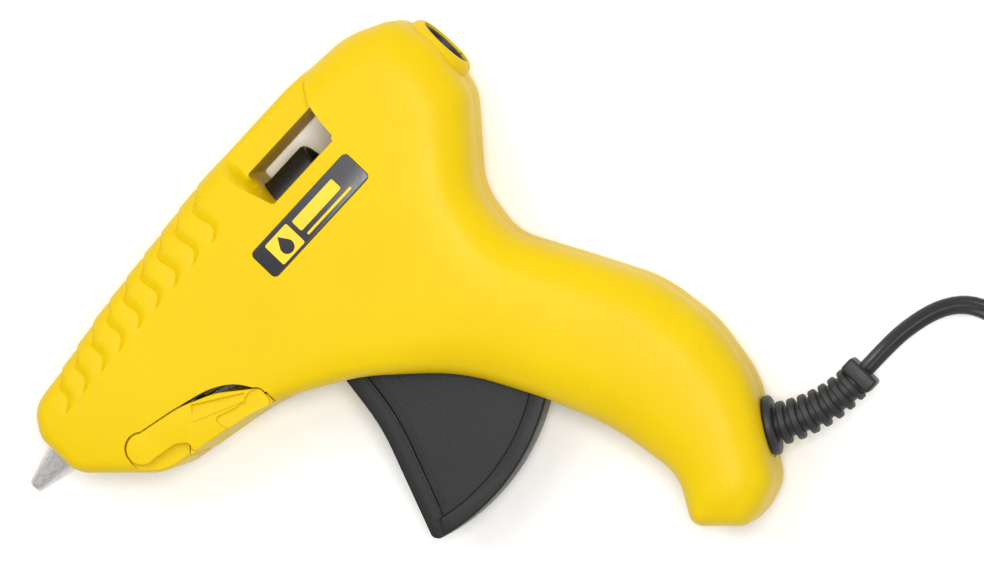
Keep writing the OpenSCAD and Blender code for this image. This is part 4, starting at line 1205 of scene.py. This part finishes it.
class GLUEGUN_OT_stand(bpy.types.Operator):
    """Mould the folding stand: two arms with a thumb ledge, and the plate that joins them"""

    bl_idname = "gluegun.stand"
    bl_label = "Folding stand"

    def execute(self, context):
        arm = prism("arm", rounded(STAND_LINE, 6), 16.35, 18.65, 0.45)
        boolean(arm, rod("eye", STAND_PIVOT.x, STAND_PIVOT.y, 4.2, 16.35, 18.65, 64, 0.45), "UNION")
        scoop = [
            (50.4, -24.4, 1.5), (58, -27.2, 8), (62.4, -26.4, 2), (68, -30, 0), (68, -36, 0), (52.9, -33, 0),
            (50.5, -27.4, 1.2),
        ]
        boolean(arm, prism("scoop", rounded(scoop, 6), 17.9, 21, 0.35))
        # the thumb ledge slopes from the arm's face down towards its upper edge
        ledge = [(48.9, -17.6), (61.0, -25.6), (59.6, -27.3), (46.0, -21.0)]
        boolean(arm, prism("pocket", ledge, 17.3, 21))
        wedge = prism("wedge", ledge, 17.0, 18.98)
        for v in wedge.data.vertices:
            if v.co.z > at(0, 0, 18).z and v.co.y > at(0, -25.7).y and v.co.x > at(48, 0).x:
                v.co.z = at(0, 0, 17.7).z
        boolean(arm, wedge, "UNION")
        boolean(arm, rod("stub", STAND_PIVOT.x, STAND_PIVOT.y, 2.5, 13.9, 17, 40), "UNION")
        other = mirrored(arm, "other")
        plate = prism("plate", rounded([
            (38.5, -26.5, 0.5), (41.6, -23.4, 0.6), (52, -26.3, 8), (64.9, -30, 0.8), (64.4, -33.1, 0.8),
            (58, -30.7, 10), (51, -29, 10),
        ], 5), -16.6, 16.6)
        boolean(plate, rod("swing", STAND_PIVOT.x, STAND_PIVOT.y, 12.9, -20, 20, 96))
        boolean(arm, plate, "UNION")
        boolean(arm, other, "UNION")
        stand = settle(arm, "stand_moulded", bpy.data.materials["moulded_abs_yellow"], "stand", 32)
        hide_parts("stand")
        return {"FINISHED"}


class GLUEGUN_OT_relief(bpy.types.Operator):
    """Mould the cord's strain relief: flange, seven ribs round a bending core, and an end block"""

    bl_idname = "gluegun.relief"
    bl_label = "Strain relief"

    def execute(self, context):
        def along(degrees):
            """The move to a place along the relief's bend."""
            a = math.radians(degrees)
            x = RELIEF_START.x + RELIEF_ARC * (math.sin(RELIEF_TURN) - math.sin(RELIEF_TURN - a))
            y = RELIEF_START.y + RELIEF_ARC * (math.cos(RELIEF_TURN) - math.cos(RELIEF_TURN - a))
            return placed(x, y, degrees - RELIEF_DEGREES)

        relief = lathe("flange", [
            (-9, 0), (-9, 4.7), (-8.6, 5.1), (-0.2, 5.1), (-0.1, 7.6), (0.3, 8.0), (1.5, 8.0), (2.0, 7.7),
            (2.2, 7.2), (2.2, 0),
        ], 72, placed(RELIEF_BASE.x, RELIEF_BASE.y, -RELIEF_DEGREES))
        for k in range(12):
            r = 4.2 - 0.5 * k / 11
            core = [(-1.6, 0), (-1.6, r), (1.6, r), (1.6, 0)]
            boolean(relief, lathe("core", core, 40, along(RELIEF_DEGREES * k / 11)), "UNION")
        for k in range(7):
            r = 5.8 - 0.9 * k / 6
            rib = [(-0.95, 0), (-0.95, r - 0.3), (-0.65, r), (0.65, r), (0.95, r - 0.3), (0.95, 0)]
            boolean(relief, lathe("rib", rib, 56, along(RELIEF_DEGREES * (k + 0.62) / 7.2)), "UNION")
        x, y = RELIEF_END
        boolean(relief, block("end", (x - 0.6, y - 4.8, -4), (x + 3.8, y + 4.8, 4), 0.9), "UNION")
        finish = finish_rubber("moulded_pvc_relief", "#232324", 0.5)
        relief = settle(relief, "strain_relief_moulded", finish, angle=38)
        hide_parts("strain_relief")
        return {"FINISHED"}


# ---------------------------------------------------------------- inside
class GLUEGUN_OT_inside(bpy.types.Operator):
    """Give the pieces inside the housing their own finishes"""

    bl_idname = "gluegun.inside"
    bl_label = "Inner pieces"

    def execute(self, context):
        steel = finish_metal("drawn_steel", "#b4b2ac", 0.3, 0.3, 0.002)
        spring = finish_metal("spring_steel_wire", "#8f8d88", 0.28, 0.2, 0.002)
        cast = finish_metal("pressure_die_cast_aluminium", "#b6b4ae", 0.5, 1.5, 0.01)
        silicone = grained(
            "moulded_silicone_red", "#a8402c", "#8c3222", 0.8, 0.02, 0.5, patch_mm=6.0, IOR=1.41,
        )
        pvc = bpy.data.materials["extruded_pvc_grey"]
        finishes = {
            **dict.fromkeys(("valve_ball", "trigger_pin", "drive_pin", "clamp_screws", "wire_crimps"), steel),
            **dict.fromkeys(
                ("valve_spring", "return_spring", "gripper_jaw", "heater_clip", "sleeve_ring"), spring,
            ),
            "melting_chamber": cast,
            "heater_element": grained(
                "fired_ptc_ceramic", "#4a4744", "#3a3734", 0.3, 0.03, 0.7, patch_mm=4.0,
            ),
            "heater_electrodes": finish_metal("rolled_copper", "#c9814f", 0.3, 0.3, 0.002),
            "heater_insulation": grained(
                "polyimide_film", "#b9741d", "#a4611a", 1.5, 0.004, 0.25, patch_mm=6.0, IOR=1.7,
            ),
            "chamber_supports": grained(
                "moulded_phenolic", "#3b2b22", "#2c2019", 0.5, 0.03, 0.5, patch_mm=5.0, IOR=1.6,
            ),
            "inlet_sleeve": silicone, "cord_sheath": pvc, "lead_wires": pvc, "wire_sleeves": finish_braid(),
            "cord_clamp": grained(
                "moulded_nylon_natural", "#d8d2bf", "#c8c0a8", 0.5, 0.02, 0.45, patch_mm=8.0, IOR=1.53,
            ),
        }
        for name, finish in finishes.items():
            piece = frame["nodes"][name]
            if not piece.material_slots:
                piece.data.materials.append(finish)
            for place in piece.material_slots:
                place.material = finish
        return {"FINISHED"}


# ---------------------------------------------------------------- panel and run
OPERATORS = [
    GLUEGUN_OT_stage, GLUEGUN_OT_cord, GLUEGUN_OT_housing, GLUEGUN_OT_screws, GLUEGUN_OT_nozzle,
    GLUEGUN_OT_carriage, GLUEGUN_OT_labels, GLUEGUN_OT_trigger, GLUEGUN_OT_stand, GLUEGUN_OT_relief,
    GLUEGUN_OT_inside,
]


class GLUEGUN_PT_panel(bpy.types.Panel):
    """Lists the glue gun's settings and pieces"""

    bl_idname = "GLUEGUN_PT_panel"
    bl_label = "Glue gun"
    bl_space_type = "VIEW_3D"
    bl_region_type = "UI"
    bl_category = "Glue Gun"

    def draw(self, context):
        for name in GunSettings.__annotations__:
            self.layout.prop(context.scene.glue_gun, name)
        for operator in OPERATORS:
            self.layout.operator(operator.bl_idname)


CLASSES = [GunSettings, *OPERATORS, GLUEGUN_PT_panel]


def register():
    for kind in CLASSES:
        bpy.utils.register_class(kind)
    bpy.types.Scene.glue_gun = bpy.props.PointerProperty(type=GunSettings)


def unregister():
    del bpy.types.Scene.glue_gun
    for kind in reversed(CLASSES):
        bpy.utils.unregister_class(kind)


def main():
    register()
    for operator in OPERATORS:
        family, name = operator.bl_idname.split(".")
        getattr(getattr(bpy.ops, family), name)()


if __name__ == "__main__":
    main()
